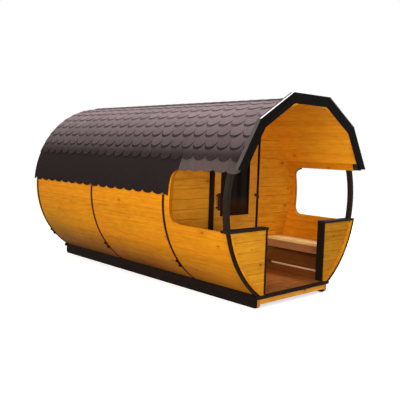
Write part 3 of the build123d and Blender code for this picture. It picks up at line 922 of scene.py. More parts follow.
@dataclass
class Shape:
    """Points, faces and face materials of a mesh under construction."""

    points: list[Point] = field(default_factory=list)
    faces: list[tuple[int, ...]] = field(default_factory=list)
    laps: list[float] = field(default_factory=list)
    tones: list[float] = field(default_factory=list)
    skins: list[int] = field(default_factory=list)

    def point(self, place: Point, lap: float = 1.0) -> int:
        """Adds a point.

        Args:
            place: Where it lies.
            lap: Its distance below the lap of the course above.

        Returns:
            Its number.
        """
        self.points.append(place)
        self.laps.append(lap)
        return len(self.points) - 1

    def face(self, corners: tuple[int, ...], tone: float = 0.5, skin: int = 0) -> None:
        """Adds a face.

        Args:
            corners: Its points' numbers.
            tone: Its tone, from 0 to 1.
            skin: Its material number.
        """
        self.faces.append(corners)
        self.tones.append(tone)
        self.skins.append(skin)

    def sheet(self, grid: list[list[tuple[float, float, float, float]]], thickness: float, tones: list[float],
              skin: RoofSkin, side: int, under: float = 1.0) -> None:
        """Adds a thin sheet that lies over the barrel.

        Args:
            grid: Rows of the underside's points: radius, angle, distance from the front end, and lap of the upper side.
            thickness: How thick the sheet is.
            tones: A tone for each column of faces.
            skin: Its finish.
            side: -1 where the angles run to the left, else 1.
            under: Lap of the underside.
        """
        outer, inner = [], []
        for row in grid:
            pairs = [(self.point(on_barrel(radius + thickness, angle, along), lap),
                      self.point(on_barrel(radius, angle, along), under)) for radius, angle, along, lap in row]
            outer.append([pair[0] for pair in pairs])
            inner.append([pair[1] for pair in pairs])
        if side > 0:
            outer, inner = inner, outer
        self.slab(outer, inner, tones, skin.value)

    def slab(self, outer: list[list[int]], inner: list[list[int]], tones: list[float], skin: int) -> None:
        """Closes two grids of points of the same size into a thin solid.

        Args:
            outer: Point numbers by row and column on the outside.
            inner: The same on the inside.
            tones: A tone for each column of faces.
            skin: The material number.
        """
        rows, columns = len(outer), len(outer[0])
        for i in range(rows - 1):
            for j in range(columns - 1):
                self.face((outer[i][j], outer[i][j + 1], outer[i + 1][j + 1], outer[i + 1][j]), tones[j], skin)
                self.face((inner[i][j], inner[i + 1][j], inner[i + 1][j + 1], inner[i][j + 1]), tones[j], skin)
        for j in range(columns - 1):
            self.face((outer[0][j + 1], outer[0][j], inner[0][j], inner[0][j + 1]), tones[j], skin)
            self.face((outer[-1][j], outer[-1][j + 1], inner[-1][j + 1], inner[-1][j]), tones[j], skin)
        for i in range(rows - 1):
            self.face((outer[i][0], outer[i + 1][0], inner[i + 1][0], inner[i][0]), tones[0], skin)
            self.face((outer[i + 1][-1], outer[i][-1], inner[i][-1], inner[i + 1][-1]), tones[-1], skin)

    def loft(self, rings: list[list[int]]) -> None:
        """Closes rings of points, one over the next, into a solid.

        Args:
            rings: Point numbers, anticlockwise as seen from the last ring's side.
        """
        for low, high in zip(rings, rings[1:]):
            for j in range(len(low)):
                after = (j + 1) % len(low)
                self.face((low[j], low[after], high[after], high[j]))
        self.face(tuple(rings[0][::-1]))
        self.face(tuple(rings[-1]))

    def block(self, centre: Vector, axes: Matrix, size: Vector) -> None:
        """Adds a bar with chamfered long edges.

        Args:
            centre: Its middle.
            axes: The matrix that turns it about its middle.
            size: Its size before that, with its length along Z.
        """
        x, y, z = size / 2
        cut = min(x, y) / 4
        profile = ((cut - x, y), (-x, y - cut), (-x, cut - y), (cut - x, -y), (x - cut, -y), (x, cut - y), (x, y - cut),
                   (x - cut, y))
        self.loft([[self.point(tuple(centre + axes @ Vector((*spot, level)))) for spot in profile]
                   for level in (-z, z)])

    def dome(self, centre: Vector, axes: Matrix, radius: float, height: float, sides: int) -> None:
        """Adds a low rounded head, such as a screw's, standing along the matrix's Z.

        Args:
            centre: Middle of its foot.
            axes: The matrix that turns it.
            radius: Its radius.
            height: Its height.
            sides: How many sides its rings have.
        """
        rings = []
        for share, level in ((1.0, 0.0), (1.0, 0.45), (0.72, 0.85), (0.3, 1.0)):
            turns = [math.tau * j / sides for j in range(sides)]
            spots = [Vector((radius * share * math.cos(turn), radius * share * math.sin(turn), height * level))
                     for turn in turns]
            rings.append([self.point(tuple(centre + axes @ spot)) for spot in spots])
        self.loft(rings)

    def make(self, name: str, materials: list[Material]) -> bpy.types.Object:
        """Makes a scene object of this shape.

        Args:
            name: The piece's name.
            materials: Its materials, by number.

        Returns:
            The object, with its attributes and materials.
        """
        mesh = bpy.data.meshes.new(name)
        mesh.from_pydata(self.points, [], self.faces)
        mesh.attributes.new("lap", "FLOAT", "POINT").data.foreach_set("value", self.laps)
        mesh.attributes.new("tab_tone", "FLOAT", "FACE").data.foreach_set("value", self.tones)
        for material in materials:
            mesh.materials.append(material)
        mesh.polygons.foreach_set("material_index", self.skins)
        mesh.validate()
        made = bpy.data.objects.new(name, mesh)
        bpy.context.scene.collection.objects.link(made)
        return made


@dataclass
class ShingleRoof:
    """Courses of half-round felt shingles from the ridge down to the eaves on both sides.

    Attributes:
        deck: Radius that the shingles lie on.
        start: Front end of the roof, from the barrel's.
        end: Back end of the roof.
        room: Where the strip that hangs down beside the room starts.
        pitch: Width of a tab.
        exposure: Angle that shows of each course.
        cover: Length of a course, in exposures.
        first: Angle of the uppermost tabs' lowest points.
        courses: How many courses each slope has.
        arc: Angle that a tab's rounding takes up.
        thickness: Of the felt.
        deck_gap: How far the tabs and the strip lie off the deck.
        lift: How far a course's lower edge stands off.
        curl: How far a tab may curl up beyond that.
        wander: Angle that a tab may lie too high or too low.
        crest: Least angle of a course's upper edge.
        eaves: Angle of the strip's lowest points.
        skirt_top: Angle of the strip's upper edge.
        skirt_arc: Angle that its roundings take up.
        skirt_lift: Share of the lift at its lower edge.
        hanging: Angles of the lowest points of the course that hangs over the side openings, left and right.
        hanging_arc: Angles that its roundings take up, left and right.
        corner: Radius of the strip's rounded corner.
        corner_level: Height of that corner over the axis.
        columns: Columns of faces to a tab.
        rows: Rows of faces to a course.
        ridge_exposure: Length that shows of each ridge shingle.
        ridge_length: Length of a ridge shingle.
        ridge_half: Angle that it reaches down on each side.
        ridge_lift: How far its back end stands off the deck, and how much more its front end does.
        seed: Of the tabs' differences.
    """

    deck: float = 1.0856
    start: float = -0.085
    end: float = 3.80
    room: float = 0.875
    pitch: float = 0.174
    exposure: float = 7.75
    cover: float = 2.05
    first: float = 5.0
    courses: int = 9
    arc: float = 4.5
    thickness: float = 0.0045
    deck_gap: Pair = (0.0008, 0.0006)
    lift: float = 0.0095
    curl: float = 0.004
    wander: float = 0.25
    crest: float = 0.4
    eaves: float = 87.2
    skirt_top: float = 60.5
    skirt_arc: float = 2.3
    skirt_lift: float = 0.75
    hanging: Pair = (72.9, 71.4)
    hanging_arc: Pair = (1.6, 0.3)
    corner: float = 0.110
    corner_level: float = 0.325
    columns: int = 12
    rows: int = 7
    ridge_exposure: float = 0.145
    ridge_length: float = 0.30
    ridge_half: float = 5.6
    ridge_lift: Pair = (0.0115, 0.0105)
    seed: int = 41

    def build(self, skins: list[Material]) -> list[bpy.types.Object]:
        """Builds the two slopes and the ridge.

        Args:
            skins: Materials by the numbers of RoofSkin.

        Returns:
            One object for each slope and one for the ridge.
        """
        slopes = [self.slope(-1, "shingles_left", skins), self.slope(1, "shingles_right", skins)]
        return slopes + [self.ridge(skins)]

    def slope(self, side: int, name: str, skins: list[Material]) -> bpy.types.Object:
        """Builds one slope, from its eaves up.

        Args:
            side: -1 for the left slope, 1 for the right.
            name: The piece's name.
            skins: Materials by the numbers of RoofSkin.

        Returns:
            The piece.
        """
        rng = random.Random(self.seed + side)
        shape = Shape()
        self.skirt(shape, side, rng)
        which = 0 if side < 0 else 1
        reach = (self.skirt_top - 1.0, self.hanging[which])
        span = (self.start, self.room - self.corner)
        self.course(shape, side, reach, 0.0, span, self.hanging_arc[which], RoofSkin.HANGING, rng)
        for number in reversed(range(self.courses)):
            low = self.first + self.exposure * number
            reach = (low - self.cover * self.exposure, low)
            shift = 0.5 * self.pitch * (number % 2)
            self.course(shape, side, reach, shift, (self.start, self.end), self.arc, RoofSkin.FIELD, rng)
        return shape.make(name, skins)

    def tab(self, along: float, shift: float) -> tuple[int, float]:
        """Finds the tab at a place.

        Args:
            along: Distance from the front end.
            shift: Distance that the tabs are moved along the roof.

        Returns:
            The tab's number and the place within it, from -1 to 1.
        """
        place = (along - self.start + shift) / self.pitch
        number = math.floor(place + 1e-6)
        return number, 2 * (place - number) - 1

    def stations(self, span: Pair, shift: float) -> list[float]:
        """Spreads places along the roof, closest together where the tabs meet.

        Args:
            span: First and last place.
            shift: Distance that the tabs are moved along the roof.

        Returns:
            The places, in order.
        """
        first, last = (self.tab(place, shift)[0] for place in span)
        places = [span[0]]
        for number in range(first, last + 1):
            for step in range(self.columns):
                share = 0.5 - 0.5 * math.cos(math.pi * step / self.columns)
                place = self.start - shift + (number + share) * self.pitch
                if span[0] + 1e-4 < place < span[1] - 1e-4:
                    places.append(place)
        return places + [span[1]]

    def edge(self, low: float, arc: float, inside: float) -> float:
        """Returns the angle of a rounded lower edge at a place within its tab."""
        return low - arc * (1 - math.sqrt(max(0.0, 1 - abs(inside) ** 2.1)))

    def course(self, shape: Shape, side: int, reach: Pair, shift: float, span: Pair, arc: float, skin: RoofSkin,
               rng: random.Random) -> None:
        """Adds one course of tabs.

        Args:
            shape: The mesh that it is added to.
            side: -1 for the left slope, 1 for the right.
            reach: Angles of the hidden upper edge and of the tabs' lowest points.
            shift: Distance that the tabs are moved along the roof.
            span: Where the course starts and ends, from the front end.
            arc: Depth of the rounding, in degrees.
            skin: The finish of this course.
            rng: The source of chance.
        """
        top, low = max(reach[0], self.crest), reach[1]
        places = self.stations(span, shift)
        chances = {}
        lows, lifts, tones = [], [], []
        for place in places:
            number, _ = self.tab(min(place, span[1] - 1e-3), shift)
            inside = min(1.0, 2 * ((place - self.start + shift) / self.pitch - number) - 1)
            if number not in chances:
                chances[number] = (rng.random(), rng.uniform(0.2, 1.0), rng.uniform(-self.wander, self.wander))
            tone, curl, drop = chances[number]
            lows.append(self.edge(low + drop, arc, inside))
            lifts.append(curl * self.curl * (1 - inside * inside))
            tones.append(tone)
        grid = []
        for row in range(self.rows + 1):
            share = row / self.rows
            line = []
            for place, bottom, lift in zip(places, lows, lifts):
                angle = top + (bottom - top) * share
                rise = self.lift * min(1.0, (angle - top) / (low - top))
                radius = self.deck + self.deck_gap[0] + rise + lift * share**3
                _, over = self.tab(place, shift + 0.5 * self.pitch)
                lap = math.radians(angle - self.edge(low - self.exposure, self.arc, over)) * self.deck
                line.append((radius, side * angle, place, lap))
            grid.append(line)
        # the underside and edge faces of each tab get the full painted shadow
        shape.sheet(grid, self.thickness, tones, skin, side, under=-0.5)

    def skirt(self, shape: Shape, side: int, rng: random.Random) -> None:
        """Adds the plain strip under the last course over the room, with its rounded corner at the side opening.

        Args:
            shape: The mesh that it is added to.
            side: -1 for the left slope, 1 for the right.
            rng: The source of chance.
        """
        lows = []
        for place in self.stations((self.room, self.end), 0.0):
            lows.append((place, self.edge(self.eaves, self.skirt_arc, self.tab(place, 0.0)[1])))
        turned = []
        for step in range(11):
            share = step / 10
            level = self.corner_level - self.corner + self.corner * math.sqrt(max(0.0, 1 - share * share))
            low = math.degrees(math.acos(level / (self.deck + self.lift)))
            turned.append((self.room - self.corner + self.corner * share, low))
        rows = self.rows + 2
        for columns in (lows, turned):
            tones = [0.5 + 0.1 * rng.random()] * (len(columns) - 1)
            grid = []
            for share in (row / rows for row in range(rows + 1)):
                radius = self.deck + self.deck_gap[1] + self.lift * self.skirt_lift * share
                angles = [self.skirt_top + (low - self.skirt_top) * share for _, low in columns]
                grid.append([(radius, side * angle, place, 1.0) for angle, (place, _) in zip(angles, columns)])
            shape.sheet(grid, self.thickness, tones, RoofSkin.SKIRT, side)

    def ridge(self, skins: list[Material]) -> bpy.types.Object:
        """Builds the ridge: short shingles bent over the top, each lapping the next.

        Args:
            skins: Materials by the numbers of RoofSkin.

        Returns:
            The piece.
        """
        rng = random.Random(self.seed)
        shape = Shape()
        rows, columns = 4, 8
        place = self.start
        while place < self.end - 0.02:
            far = min(place + self.ridge_length, self.end)
            tone = rng.random()
            grid = []
            for row in range(rows + 1):
                along = place + (far - place) * row / rows
                share = 1 - row / rows * (far - place) / self.ridge_length
                radius = self.deck + self.ridge_lift[0] + self.ridge_lift[1] * share
                angles = [self.ridge_half * (column / (columns / 2) - 1) for column in range(columns + 1)]
                # lap values that put the painted shadow at each ridge shingle's front end
                grid.append([(radius, angle, along, (1 - share) * 0.3 + 0.02) for angle in angles])
            shape.sheet(grid, self.thickness, [tone] * columns, RoofSkin.FIELD, 1)
            place += self.ridge_exposure
        return shape.make("shingles_ridge", skins)


@dataclass
class Fasteners:
    """Screw and nail heads on the trims and the boards, true to size.

    Attributes:
        radius: Of a screw's head.
        height: Of a screw's head.
        nail: A nail head's share of a screw head's size.
        gable_front: Place and two radii of the screws in the front gable boards.
        gable_back: The same at the back.
        gable_corners: Angles of the gable boards' ends.
        gable_gap: Angle from a board's end to its screws.
        trim_place: Distance of the end trims' screws from the middle, and set-back.
        trim_levels: Their heights.
        cap_places: Distances of the caps' screws from the middle.
        cap_set: Set-back of the caps' screws, and their height over the axis.
        wall_place: Distance of the nails from the middle, and set-back.
        wall_boards: First and last board that they are in.
        wall_gap: Half the distance of a pair of nails.
    """

    radius: float = 0.0045
    height: float = 0.0016
    nail: float = 0.7
    gable_front: Point = (-0.105, 1.082, 1.118)
    gable_back: Point = (3.82, 1.032, 1.062)
    gable_corners: tuple[float, ...] = (-71.6, -43.5, -15.4, 15.4, 43.5, 71.6)
    gable_gap: float = 3.4
    trim_place: Pair = (0.498, 0.012)
    trim_levels: tuple[float, ...] = (0.20, 0.40, 0.60, 0.74)
    cap_places: Point = (0.53, 0.72, 0.90)
    cap_set: Pair = (0.05, -0.220)
    wall_place: Pair = (0.50, 0.935)
    wall_boards: tuple[int, int] = (-5, 9)
    wall_gap: float = 0.028

    def build(self, steel: Material) -> list[bpy.types.Object]:
        """Returns the screws of the gable boards and the half walls, and the nails of the front wall."""
        return [self.gable(steel), self.half_walls(steel), self.front_wall(steel)]

    def facing_front(self) -> Matrix:
        """Returns axes whose Z points out of the front."""
        return Matrix.Rotation(math.radians(90), 3, "X")

    def screw(self, shape: Shape, place: Point, axes: Matrix) -> None:
        """Adds one screw head at a place."""
        shape.dome(Vector(place), axes, self.radius, self.height, 12)

    def gable(self, steel: Material) -> bpy.types.Object:
        """Sets two screws near each end of every gable board.

        Args:
            steel: Their material.

        Returns:
            The piece.
        """
        shape = Shape()
        front = self.facing_front()
        turns = [corner + gap for corner in self.gable_corners for gap in (-self.gable_gap, self.gable_gap)]
        for (face, *radii), axes in ((self.gable_front, front), (self.gable_back, front.inverted())):
            for turn in turns:
                if abs(turn) > max(self.gable_corners):
                    continue
                for radius in radii:
                    self.screw(shape, on_barrel(radius, turn, face), axes)
        return shape.make("gable_screws", [steel])

    def half_walls(self, steel: Material) -> bpy.types.Object:
        """Sets the screws of the end trims and the caps.

        Args:
            steel: Their material.

        Returns:
            The piece.
        """
        shape = Shape()
        aside, back = self.trim_place
        cap_back, cap_level = self.cap_set
        for side in (-1, 1):
            for level in self.trim_levels:
                self.screw(shape, (side * aside, FRONT_END + back, level), self.facing_front())
            for reach in self.cap_places:
                self.screw(shape, (side * reach, FRONT_END + cap_back, AXIS_HEIGHT + cap_level), Matrix.Identity(3))
        return shape.make("half_wall_screws", [steel])

    def front_wall(self, steel: Material) -> bpy.types.Object:
        """Sets pairs of nails along the boards beside the doorway.

        Args:
            steel: Their material.

        Returns:
            The piece.
        """
        shape = Shape()
        aside, back = self.wall_place
        first, last = self.wall_boards
        for number in range(first, last + 1):
            level = AXIS_HEIGHT + BOARD_JOINT + (number + 0.5) * BOARD_PITCH
            for x in (-aside, aside):
                for shift in (-self.wall_gap, self.wall_gap):
                    spot = Vector((x, FRONT_END + back, level + shift))
                    shape.dome(spot, self.facing_front(), self.radius * self.nail, self.height * self.nail, 8)
        return shape.make("wall_nails", [steel])


@dataclass
class GlazingBead:
    """A dark bead round the door's glass on both faces of the leaf.

    Attributes:
        half_width: Half the width of the glazing.
        bottom: Its lower edge, over the axis.
        top: Its upper edge, over the axis.
        width: Width of the bead.
        depth: Thickness of the bead.
        faces: Set-back of the beads' middles from the front end.
    """

    half_width: float = 0.245
    bottom: float = -0.225
    top: float = 0.70
    width: float = 0.016
    depth: float = 0.010
    faces: Pair = (0.937, 0.975)

    def build(self, stain: Material) -> bpy.types.Object:
        """Builds the beads.

        Args:
            stain: Their material.

        Returns:
            The piece.
        """
        shape = Shape()
        across = Matrix.Rotation(math.radians(90), 3, "Y")
        upright_size = Vector((self.width, self.depth, self.top - self.bottom))
        rail_size = Vector((self.width, self.depth, 2 * (self.half_width - self.width)))
        middle = (self.bottom + self.top) / 2
        for face in self.faces:
            along = FRONT_END + face
            for side in (-1, 1):
                x = side * (self.half_width - self.width / 2)
                shape.block(Vector((x, along, AXIS_HEIGHT + middle)), Matrix.Identity(3), upright_size)
            for level in (self.bottom + self.width / 2, self.top - self.width / 2):
                shape.block(Vector((0.0, along, AXIS_HEIGHT + level)), across, rail_size)
        return shape.make("glazing_bead", [stain])


@dataclass
class DressedFrame:
    """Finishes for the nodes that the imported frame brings."""

    nodes: dict[str, bpy.types.Object]

    def put(self, material: Material, *names: str) -> None:
        """Gives nodes one material.

        Args:
            material: The material.
            names: The nodes' names.
        """
        for name in names:
            for spot in self.nodes[name].material_slots:
                spot.material = material

    def dress(self, finishes: dict[str, Material]) -> int:
        """Gives every shown node its finish.

        Args:
            finishes: The materials by the names used here.

        Returns:
            The number of nodes.
        """
        table = {
            "staves": ("shell_lower_left", "shell_lower_right", "shell_side_left", "shell_side_right"),
            "ceiling": ("shell_shoulder_left", "shell_shoulder_right", "shell_crown"),
            "wall": ("wall_front_right", "wall_front_over_door", "wall_back"),
            "wall_left": ("wall_front_left",),
            "half_wall_left": ("half_wall_left",),
            "half_wall_right": ("half_wall_right",),
            "door_boards": ("door_leaf",),
            "floor": ("floor_terrace", "floor_room"),
            "skid": ("base_skid_left", "base_skid_right"),
            "beam": ("base_crossbeams",),
            "bench": ("bench_slats_left", "bench_slats_right"),
            "apron": ("bench_frame_left", "bench_frame_right"),
            "batten": ("skirting_battens",),
            "gable": ("fascia_front", "fascia_back"),
            "trim": ("arch_trims", "floor_edge_trims"),
            "upright": ("arch_posts",),
            "end_trim": ("half_wall_end_trims", "door_casing"),
            "cap": ("half_wall_caps",),
            "frame": ("door_frame", "door_threshold"),
            "flashing": ("roof_flashings",),
            "strap": ("band_straps_left", "band_straps_right", "band_clamps"),
            "hinge": ("door_hinge_pins", "door_hinge_leaves"),
            "glass": ("door_glass",),
            "handle": ("door_handles",),
        }
        for finish, names in table.items():
            self.put(finishes[finish], *names)
        return sum(len(names) for names in table.values())


def band_places(strap: bpy.types.Object) -> tuple[float, ...]:
    """Finds where the steel bands lie.

    Args:
        strap: The node of the straps on one side.

    Returns:
        The places of the bands' middles along the barrel.
    """
    ends = sorted({round((strap.matrix_world @ point.co).y, 4) for point in strap.data.vertices})
    return tuple((front + back) / 2 for front, back in zip(ends[::2], ends[1::2]))


@dataclass
class Finishes:
    """Every finish of the object.

    Attributes:
        bands: Places of the steel bands along the barrel.
    """

    bands: tuple[float, ...]

    def build(self) -> dict[str, Material]:
        """Returns all materials by the finish's name."""
        finishes = self.shell() | self.boards() | self.terrace() | self.trims() | self.roof() | self.fittings()
        return {name: finish.build() for name, finish in finishes.items()}

    def shell(self) -> dict[str, Finish]:
        """Lists the finishes of the staves.

        Returns:
            The finishes by name.
        """
        staves = GrainRun.STAVES
        return {
            # staves: painted shade near the ground with a painted grass reflection, painted shade under the benches and
            # on the cut faces, and a painted contact shadow, partly rust, beside the bands
            "staves": StainedBoards(
                "staves", staves, light=(0.83, 0.325, 0.010), knot=(0.25, 0.055, 0.005), pitch=STAVE_WIDTH,
                seed=3.0, knots=0.10, joint=0.18, contrast=0.85, ground_shade=0.95, inside=0.9, capped=1.072, cut_face_shade=0.9,
                bands=self.bands),
            "ceiling": StainedBoards(
                "ceiling_staves", staves, light=(1.0, 0.44, 0.022), deep=(0.75, 0.26, 0.009),
                pitch=STAVE_WIDTH, seed=3.0, knots=0.12, joint=0.12),
        }

    def boards(self) -> dict[str, Finish]:
        """Lists the finishes of the walls and the door.

        Returns:
            The finishes by name.
        """
        wall = GrainRun.WALL
        return {
            # darker copy of the wall boards: painted shade on the wall seen through the left opening
            "wall_left": StainedBoards(
                "wall_left_boards", wall, light=(0.66, 0.29, 0.020), deep=(0.42, 0.14, 0.006), seed=40.0,
                knots=0.4, joint=0.6),
            "wall": StainedBoards(
                # the wall boards: painted shade low down beside the benches
                "wall_boards", wall, light=(0.72, 0.295, 0.014), deep=(0.46, 0.14, 0.005), seed=40.0,
                knots=0.25, joint=0.4, contrast=0.9, inside=0.9, under_bench_shade_level=-0.60, under_bench_shade_from=0.45),
            "half_wall_left": StainedBoards(
                "half_wall_left_boards", wall, light=(0.74, 0.335, 0.019), deep=(0.50, 0.18, 0.009),
                seed=70.0, knots=0.6, joint=0.42),
            # darker copy of the left half wall's boards: painted shade on the right half wall
            "half_wall_right": StainedBoards(
                "half_wall_right_boards", wall, light=(0.55, 0.25, 0.013), deep=(0.37, 0.135, 0.006),
                seed=76.0, knots=0.5, joint=0.45),
            "door_boards": StainedBoards(
                "door_boards", wall, light=(0.66, 0.285, 0.026), deep=(0.46, 0.16, 0.012), pitch=0.30,
                seed=90.0, knots=0.3, joint=0.2),
            "beam": StainedBoards(
                "beam_boards", wall, light=(0.80, 0.36, 0.05), deep=(0.55, 0.2, 0.02), pitch=0.5, seed=130.0,
                joint=0.0),
        }

    def terrace(self) -> dict[str, Finish]:
        """Lists the finishes of the floor, the skids and the benches.

        Returns:
            The finishes by name.
        """
        lengthwise = GrainRun.LENGTHWISE
        return {
            "floor": StainedBoards(
                "floor_boards", GrainRun.FLOOR, light=(0.42, 0.150, 0.030), deep=(0.19, 0.058, 0.012),
                end=BLACK_STAIN, seed=110.0, joint=0.5, contrast=0.7, edge_at=0.594, rough=0.5),
            "skid": StainedBoards(
                "skid_boards", lengthwise, light=(0.014, 0.009, 0.007), deep=(0.007, 0.005, 0.004),
                knot=(0.006, 0.005, 0.004), end=(0.55, 0.20, 0.04), pitch=0.4, knots=0.1, joint=0.0, end_grain=1.0,
                rough=0.6),
            # pale cream, partly the unstained pine's own colour and partly painted sunlight on the seat
            "bench": StainedBoards(
                "bench_boards", lengthwise, light=(0.88, 0.64, 0.27), deep=(0.66, 0.38, 0.12),
                knot=(0.35, 0.14, 0.04), pitch=0.4, seed=150.0, joint=0.0),
            "apron": StainedBoards(
                "apron_boards", lengthwise, light=(0.44, 0.20, 0.075), deep=(0.28, 0.11, 0.036),
                knot=(0.2, 0.08, 0.03), pitch=0.4, seed=160.0, joint=0.0),
            # the batten: its dark brown stands in for the shade under the bench, with a painted sunlit line along it
            "batten": StainedBoards(
                "batten_boards", lengthwise, light=(0.17, 0.058, 0.020), deep=(0.09, 0.028, 0.010),
                end=(1.0, 0.70, 0.40), pitch=0.4, seed=170.0, knots=0.1, joint=0.0, line=(0.200, 0.226),
                sunlit_line_end=FRONT_END + 0.84),
        }

    def trims(self) -> dict[str, Finish]:
        """Lists the finishes of the dark trims and posts.

        Returns:
            The finishes by name.
        """
        upright = GrainRun.UPRIGHT
        return {
            "gable": DarkStain("gable_stain", GrainRun.GABLE, (0.0030, 0.0028, 0.0024), (0.011, 0.009, 0.008)),
            "trim": DarkStain("trim_stain", GrainRun.GABLE),
            "upright": DarkStain("upright_stain", upright, (0.016, 0.0098, 0.0062), (0.055, 0.042, 0.034)),
            "end_trim": DarkStain("end_trim_stain", upright, (0.0075, 0.0045, 0.0028)),
            "cap": DarkStain("cap_stain", GrainRun.WALL, worn=(0.048, 0.037, 0.030), wear=0.8),
            "frame": DarkStain("frame_stain", upright),
            "bead": DarkStain("bead_stain", upright, (0.010, 0.006, 0.005)),
            "handle": DarkStain("handle_stain", upright, (0.035, 0.010, 0.007), (0.09, 0.03, 0.02)),
        }

    def roof(self) -> dict[str, Finish]:
        """Lists the finishes of the shingles and the flashings.

        Returns:
            The finishes by name.
        """
        return {
            # the field: painted shade down the slope and at the foot, and a painted shadow below each lap
            "field": RoofingFelt(
                "shingle_field", (0.203, 0.150, 0.157), low=(0.076, 0.053, 0.053),
                foot=(0.024, 0.016, 0.015), lap_shadow=1.0, sheen=0.05),
            # the strip under the last course: near-black as painted shade on its steep face
            "skirt": RoofingFelt("shingle_skirt", (0.0185, 0.0120, 0.0115), drift=0.2, lap_shadow=0.0, sheen=0.0),
            "hanging": RoofingFelt("shingle_hanging", (0.074, 0.052, 0.047), lap_shadow=0.3, sheen=0.1),
            "flashing": FadedSheet(
                "flashing_sheet", (0.085, 0.068, 0.064), (0.055, 0.043, 0.040), metallic=0.1, rough=0.5),
        }

    def fittings(self) -> dict[str, Finish]:
        """Lists the finishes of the bands, hinges, screws and glass.

        Returns:
            The finishes by name.
        """
        return {
            "strap": Metal("strap_steel", (0.012, 0.004, 0.003), (0.022, 0.008, 0.005), metallic=0.0, rough=0.5),
            "hinge": Metal("hinge_plate", (0.035, 0.014, 0.009), (0.06, 0.03, 0.02), metallic=0.3, rough=0.5),
            "screw": Metal("screw_steel", (0.014, 0.011, 0.009), (0.008, 0.006, 0.005), metallic=0.2, rough=0.5),
            "glass": DarkGlass("tinted_glass"),
        }


@dataclass
class PhotoCamera:
    """The camera of the reference view.

    Attributes:
        place: Where it stands.
        yaw: Turn to the right from facing along Y.
        pitch: Turn up from level.
        roll: Turn about its own axis.
        focal: Focal length in pixels of the frame.
        centre: Pixel that it looks straight at.
        frame: Width and height of the frame in pixels.
        sensor: Width of the sensor in millimetres.
    """

    place: Point = (-4.9192, -5.5124, 1.5898)
    yaw: float = 0.7425
    pitch: float = -0.0768
    roll: float = 0.0313
    focal: float = 570.658
    centre: Pair = (191.004, 192.545)
    frame: float = 400.0
    sensor: float = 36.0

    def build(self) -> bpy.types.Object:
        """Makes the scene's camera, looking along the fitted direction.

        Returns:
            The camera.
        """
        level = math.cos(self.pitch)
        ahead = Vector((math.sin(self.yaw) * level, math.cos(self.yaw) * level, math.sin(self.pitch)))
        right = Vector((math.cos(self.yaw), -math.sin(self.yaw), 0.0))
        up = right.cross(ahead)
        across = right * math.cos(self.roll) + up * math.sin(self.roll)
        above = up * math.cos(self.roll) - right * math.sin(self.roll)
        data = bpy.data.cameras.new("photo_camera")
        data.sensor_width = self.sensor
        data.lens = self.focal / self.frame * self.sensor
        data.shift_x = (self.frame / 2 - self.centre[0]) / self.frame
        data.shift_y = (self.centre[1] - self.frame / 2) / self.frame
        data.clip_end = 200.0
        camera = bpy.data.objects.new("photo_camera", data)
        turn = Matrix((across, above, -ahead)).transposed().to_4x4()
        camera.matrix_world = Matrix.Translation(self.place) @ turn
        bpy.context.scene.collection.objects.link(camera)
        bpy.context.scene.camera = camera
        return camera


@dataclass(frozen=True)
class SoftLight:
    """A round area light.

    Attributes:
        name: Its name.
        place: Where it stands.
        aim: The place that it points at.
        size: Its diameter.
        power: Its power in watts.
    """

    name: str
    place: Point
    aim: Point
    size: float
    power: float

    def build(self) -> bpy.types.Object:
        """Makes the light.

        Returns:
            The light.
        """
        data = bpy.data.lights.new(self.name, "AREA")
        data.shape = "DISK"
        data.size = self.size
        data.energy = self.power
        light = bpy.data.objects.new(self.name, data)
        light.location = self.place
        light.rotation_mode = "QUATERNION"
        light.rotation_quaternion = (Vector(self.aim) - Vector(self.place)).to_track_quat("-Z", "Y")
        bpy.context.scene.collection.objects.link(light)
        return light


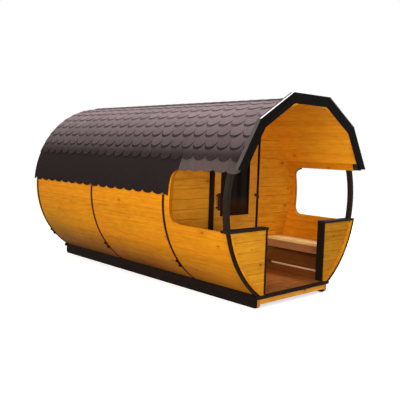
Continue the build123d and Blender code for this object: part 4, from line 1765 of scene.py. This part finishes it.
@dataclass
class Studio:
    """A pale floor, a white surround and soft lights.

    Attributes:
        reach: Half the floor's width.
        ambient: Strength of the surround where it lights the object.
        floor_colour: The floor's colour as the camera sees it.
        floor_bounce: The floor's colour in the light that it throws back.
        floor_lift: The floor's own glow where it is seen.
        lights: The lights.
    """

    reach: float = 40.0
    ambient: float = 0.50
    floor_colour: Colour = (0.85, 0.85, 0.85)
    floor_bounce: Colour = (0.30, 0.28, 0.26)
    floor_lift: float = 0.61
    lights: tuple[SoftLight, ...] = (
        SoftLight("key", (-8.6, -3.6, 3.2), (0.0, -0.2, 0.9), 5.0, 425.0),
        SoftLight("front", (-3.6, -8.2, 0.9), (0.0, -1.2, 1.3), 3.0, 290.0),
        SoftLight("top", (-1.0, -0.5, 7.0), (0.0, 0.0, 1.0), 5.0, 260.0),
        SoftLight("side", (5.0, -1.6, 5.6), (0.8, -1.3, 0.5), 2.0, 330.0),
        SoftLight("back", (-4.0, 8.0, 5.0), (0.0, 0.0, 1.0), 4.0, 150.0),
    )

    def build(self) -> int:
        """Makes the floor, the surround and the lights.

        Returns:
            The number of lights.
        """
        self.surround()
        self.floor()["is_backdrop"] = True
        return len([light.build() for light in self.lights])

    def seen(self, wires: Tree) -> Socket:
        """Tells the rays that see a surface from those that it lights.

        Args:
            wires: The wiring of the material or the world.

        Returns:
            1 for camera, glossy and transmission rays, else 0.
        """
        rays = wires.add("LightPath").outputs
        either = wires.math("MAXIMUM", rays["Is Camera Ray"], rays["Is Glossy Ray"])
        return wires.math("MAXIMUM", either, rays["Is Transmission Ray"])

    def surround(self) -> None:
        """Makes the world: white where it is seen, softer where it lights."""
        world = bpy.data.worlds.new("surround")
        world.use_nodes = True
        world.node_tree.nodes.clear()
        wires = Tree(world.node_tree)
        strength = wires.span(self.seen(wires), self.ambient, 1.0)
        light = wires.add("Background", {"Color": WHITE, "Strength": strength})
        wires.add("OutputWorld", {"Surface": light.outputs[0]})
        bpy.context.scene.world = world

    def floor(self) -> bpy.types.Object:
        """Makes the pale floor, which keeps the object's shadow.

        Returns:
            The floor.
        """
        material = bpy.data.materials.new("pale_floor")
        material.use_nodes = True
        material.node_tree.nodes.clear()
        wires = Tree(material.node_tree)
        camera_ray = wires.add("LightPath").outputs["Is Camera Ray"]
        colour = wires.mix(camera_ray, self.floor_bounce, self.floor_colour)
        matt = wires.add("BsdfDiffuse", {"Color": colour})
        lift = wires.times(self.seen(wires), self.floor_lift)
        glow = wires.add("Emission", {"Color": WHITE, "Strength": lift})
        both = wires.add("AddShader", {0: matt.outputs[0], 1: glow.outputs[0]})
        wires.add("OutputMaterial", {"Surface": both.outputs[0]})
        mesh = bpy.data.meshes.new("studio_floor")
        far = self.reach
        mesh.from_pydata([(-far, -far, 0.0), (far, -far, 0.0), (far, far, 0.0), (-far, far, 0.0)], [], [(0, 1, 2, 3)])
        mesh.materials.append(material)
        made = bpy.data.objects.new("studio_floor", mesh)
        bpy.context.scene.collection.objects.link(made)
        return made


def corners(box: tuple[Vector, Vector]) -> list[list[float]]:
    """Returns a box's two corners as plain lists."""
    return [list(box[0]), list(box[1])]


def main() -> None:
    """Loads the frame, dresses it, adds the pieces that it lacks, and sets the view and the light."""
    logging.basicConfig(level=logging.INFO, format="%(message)s")
    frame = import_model()
    solid_box = corners(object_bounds())
    bpy.context.scene.view_settings.view_transform = "Standard"
    PhotoCamera().build()
    finishes = Finishes(band_places(frame["nodes"]["band_straps_left"])).build()
    LOG.info("finishes: %d", len(finishes))

    count = DressedFrame(frame["nodes"]).dress(finishes)
    LOG.info("dressed nodes: %d", count)

    roof = ShingleRoof().build([finishes["field"], finishes["skirt"], finishes["hanging"]])
    for piece, node in zip(roof, ("roof_cover_left", "roof_cover_right", "roof_cover_crown")):
        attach(piece, BUILDING)
        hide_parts(node)
        LOG.info("%s: %d faces", piece.name, len(piece.data.polygons))

    for piece in Fasteners().build(finishes["screw"]):
        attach(piece, BUILDING)
        LOG.info("%s: %d faces", piece.name, len(piece.data.polygons))

    bead = GlazingBead().build(finishes["bead"])
    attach(bead, DOOR)
    LOG.info("%s: %d faces", bead.name, len(bead.data.polygons))

    LOG.info("lights: %d", Studio().build())
    {"solids": solid_box, "dressed": corners(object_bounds())}


if __name__ == "__main__":
    main()
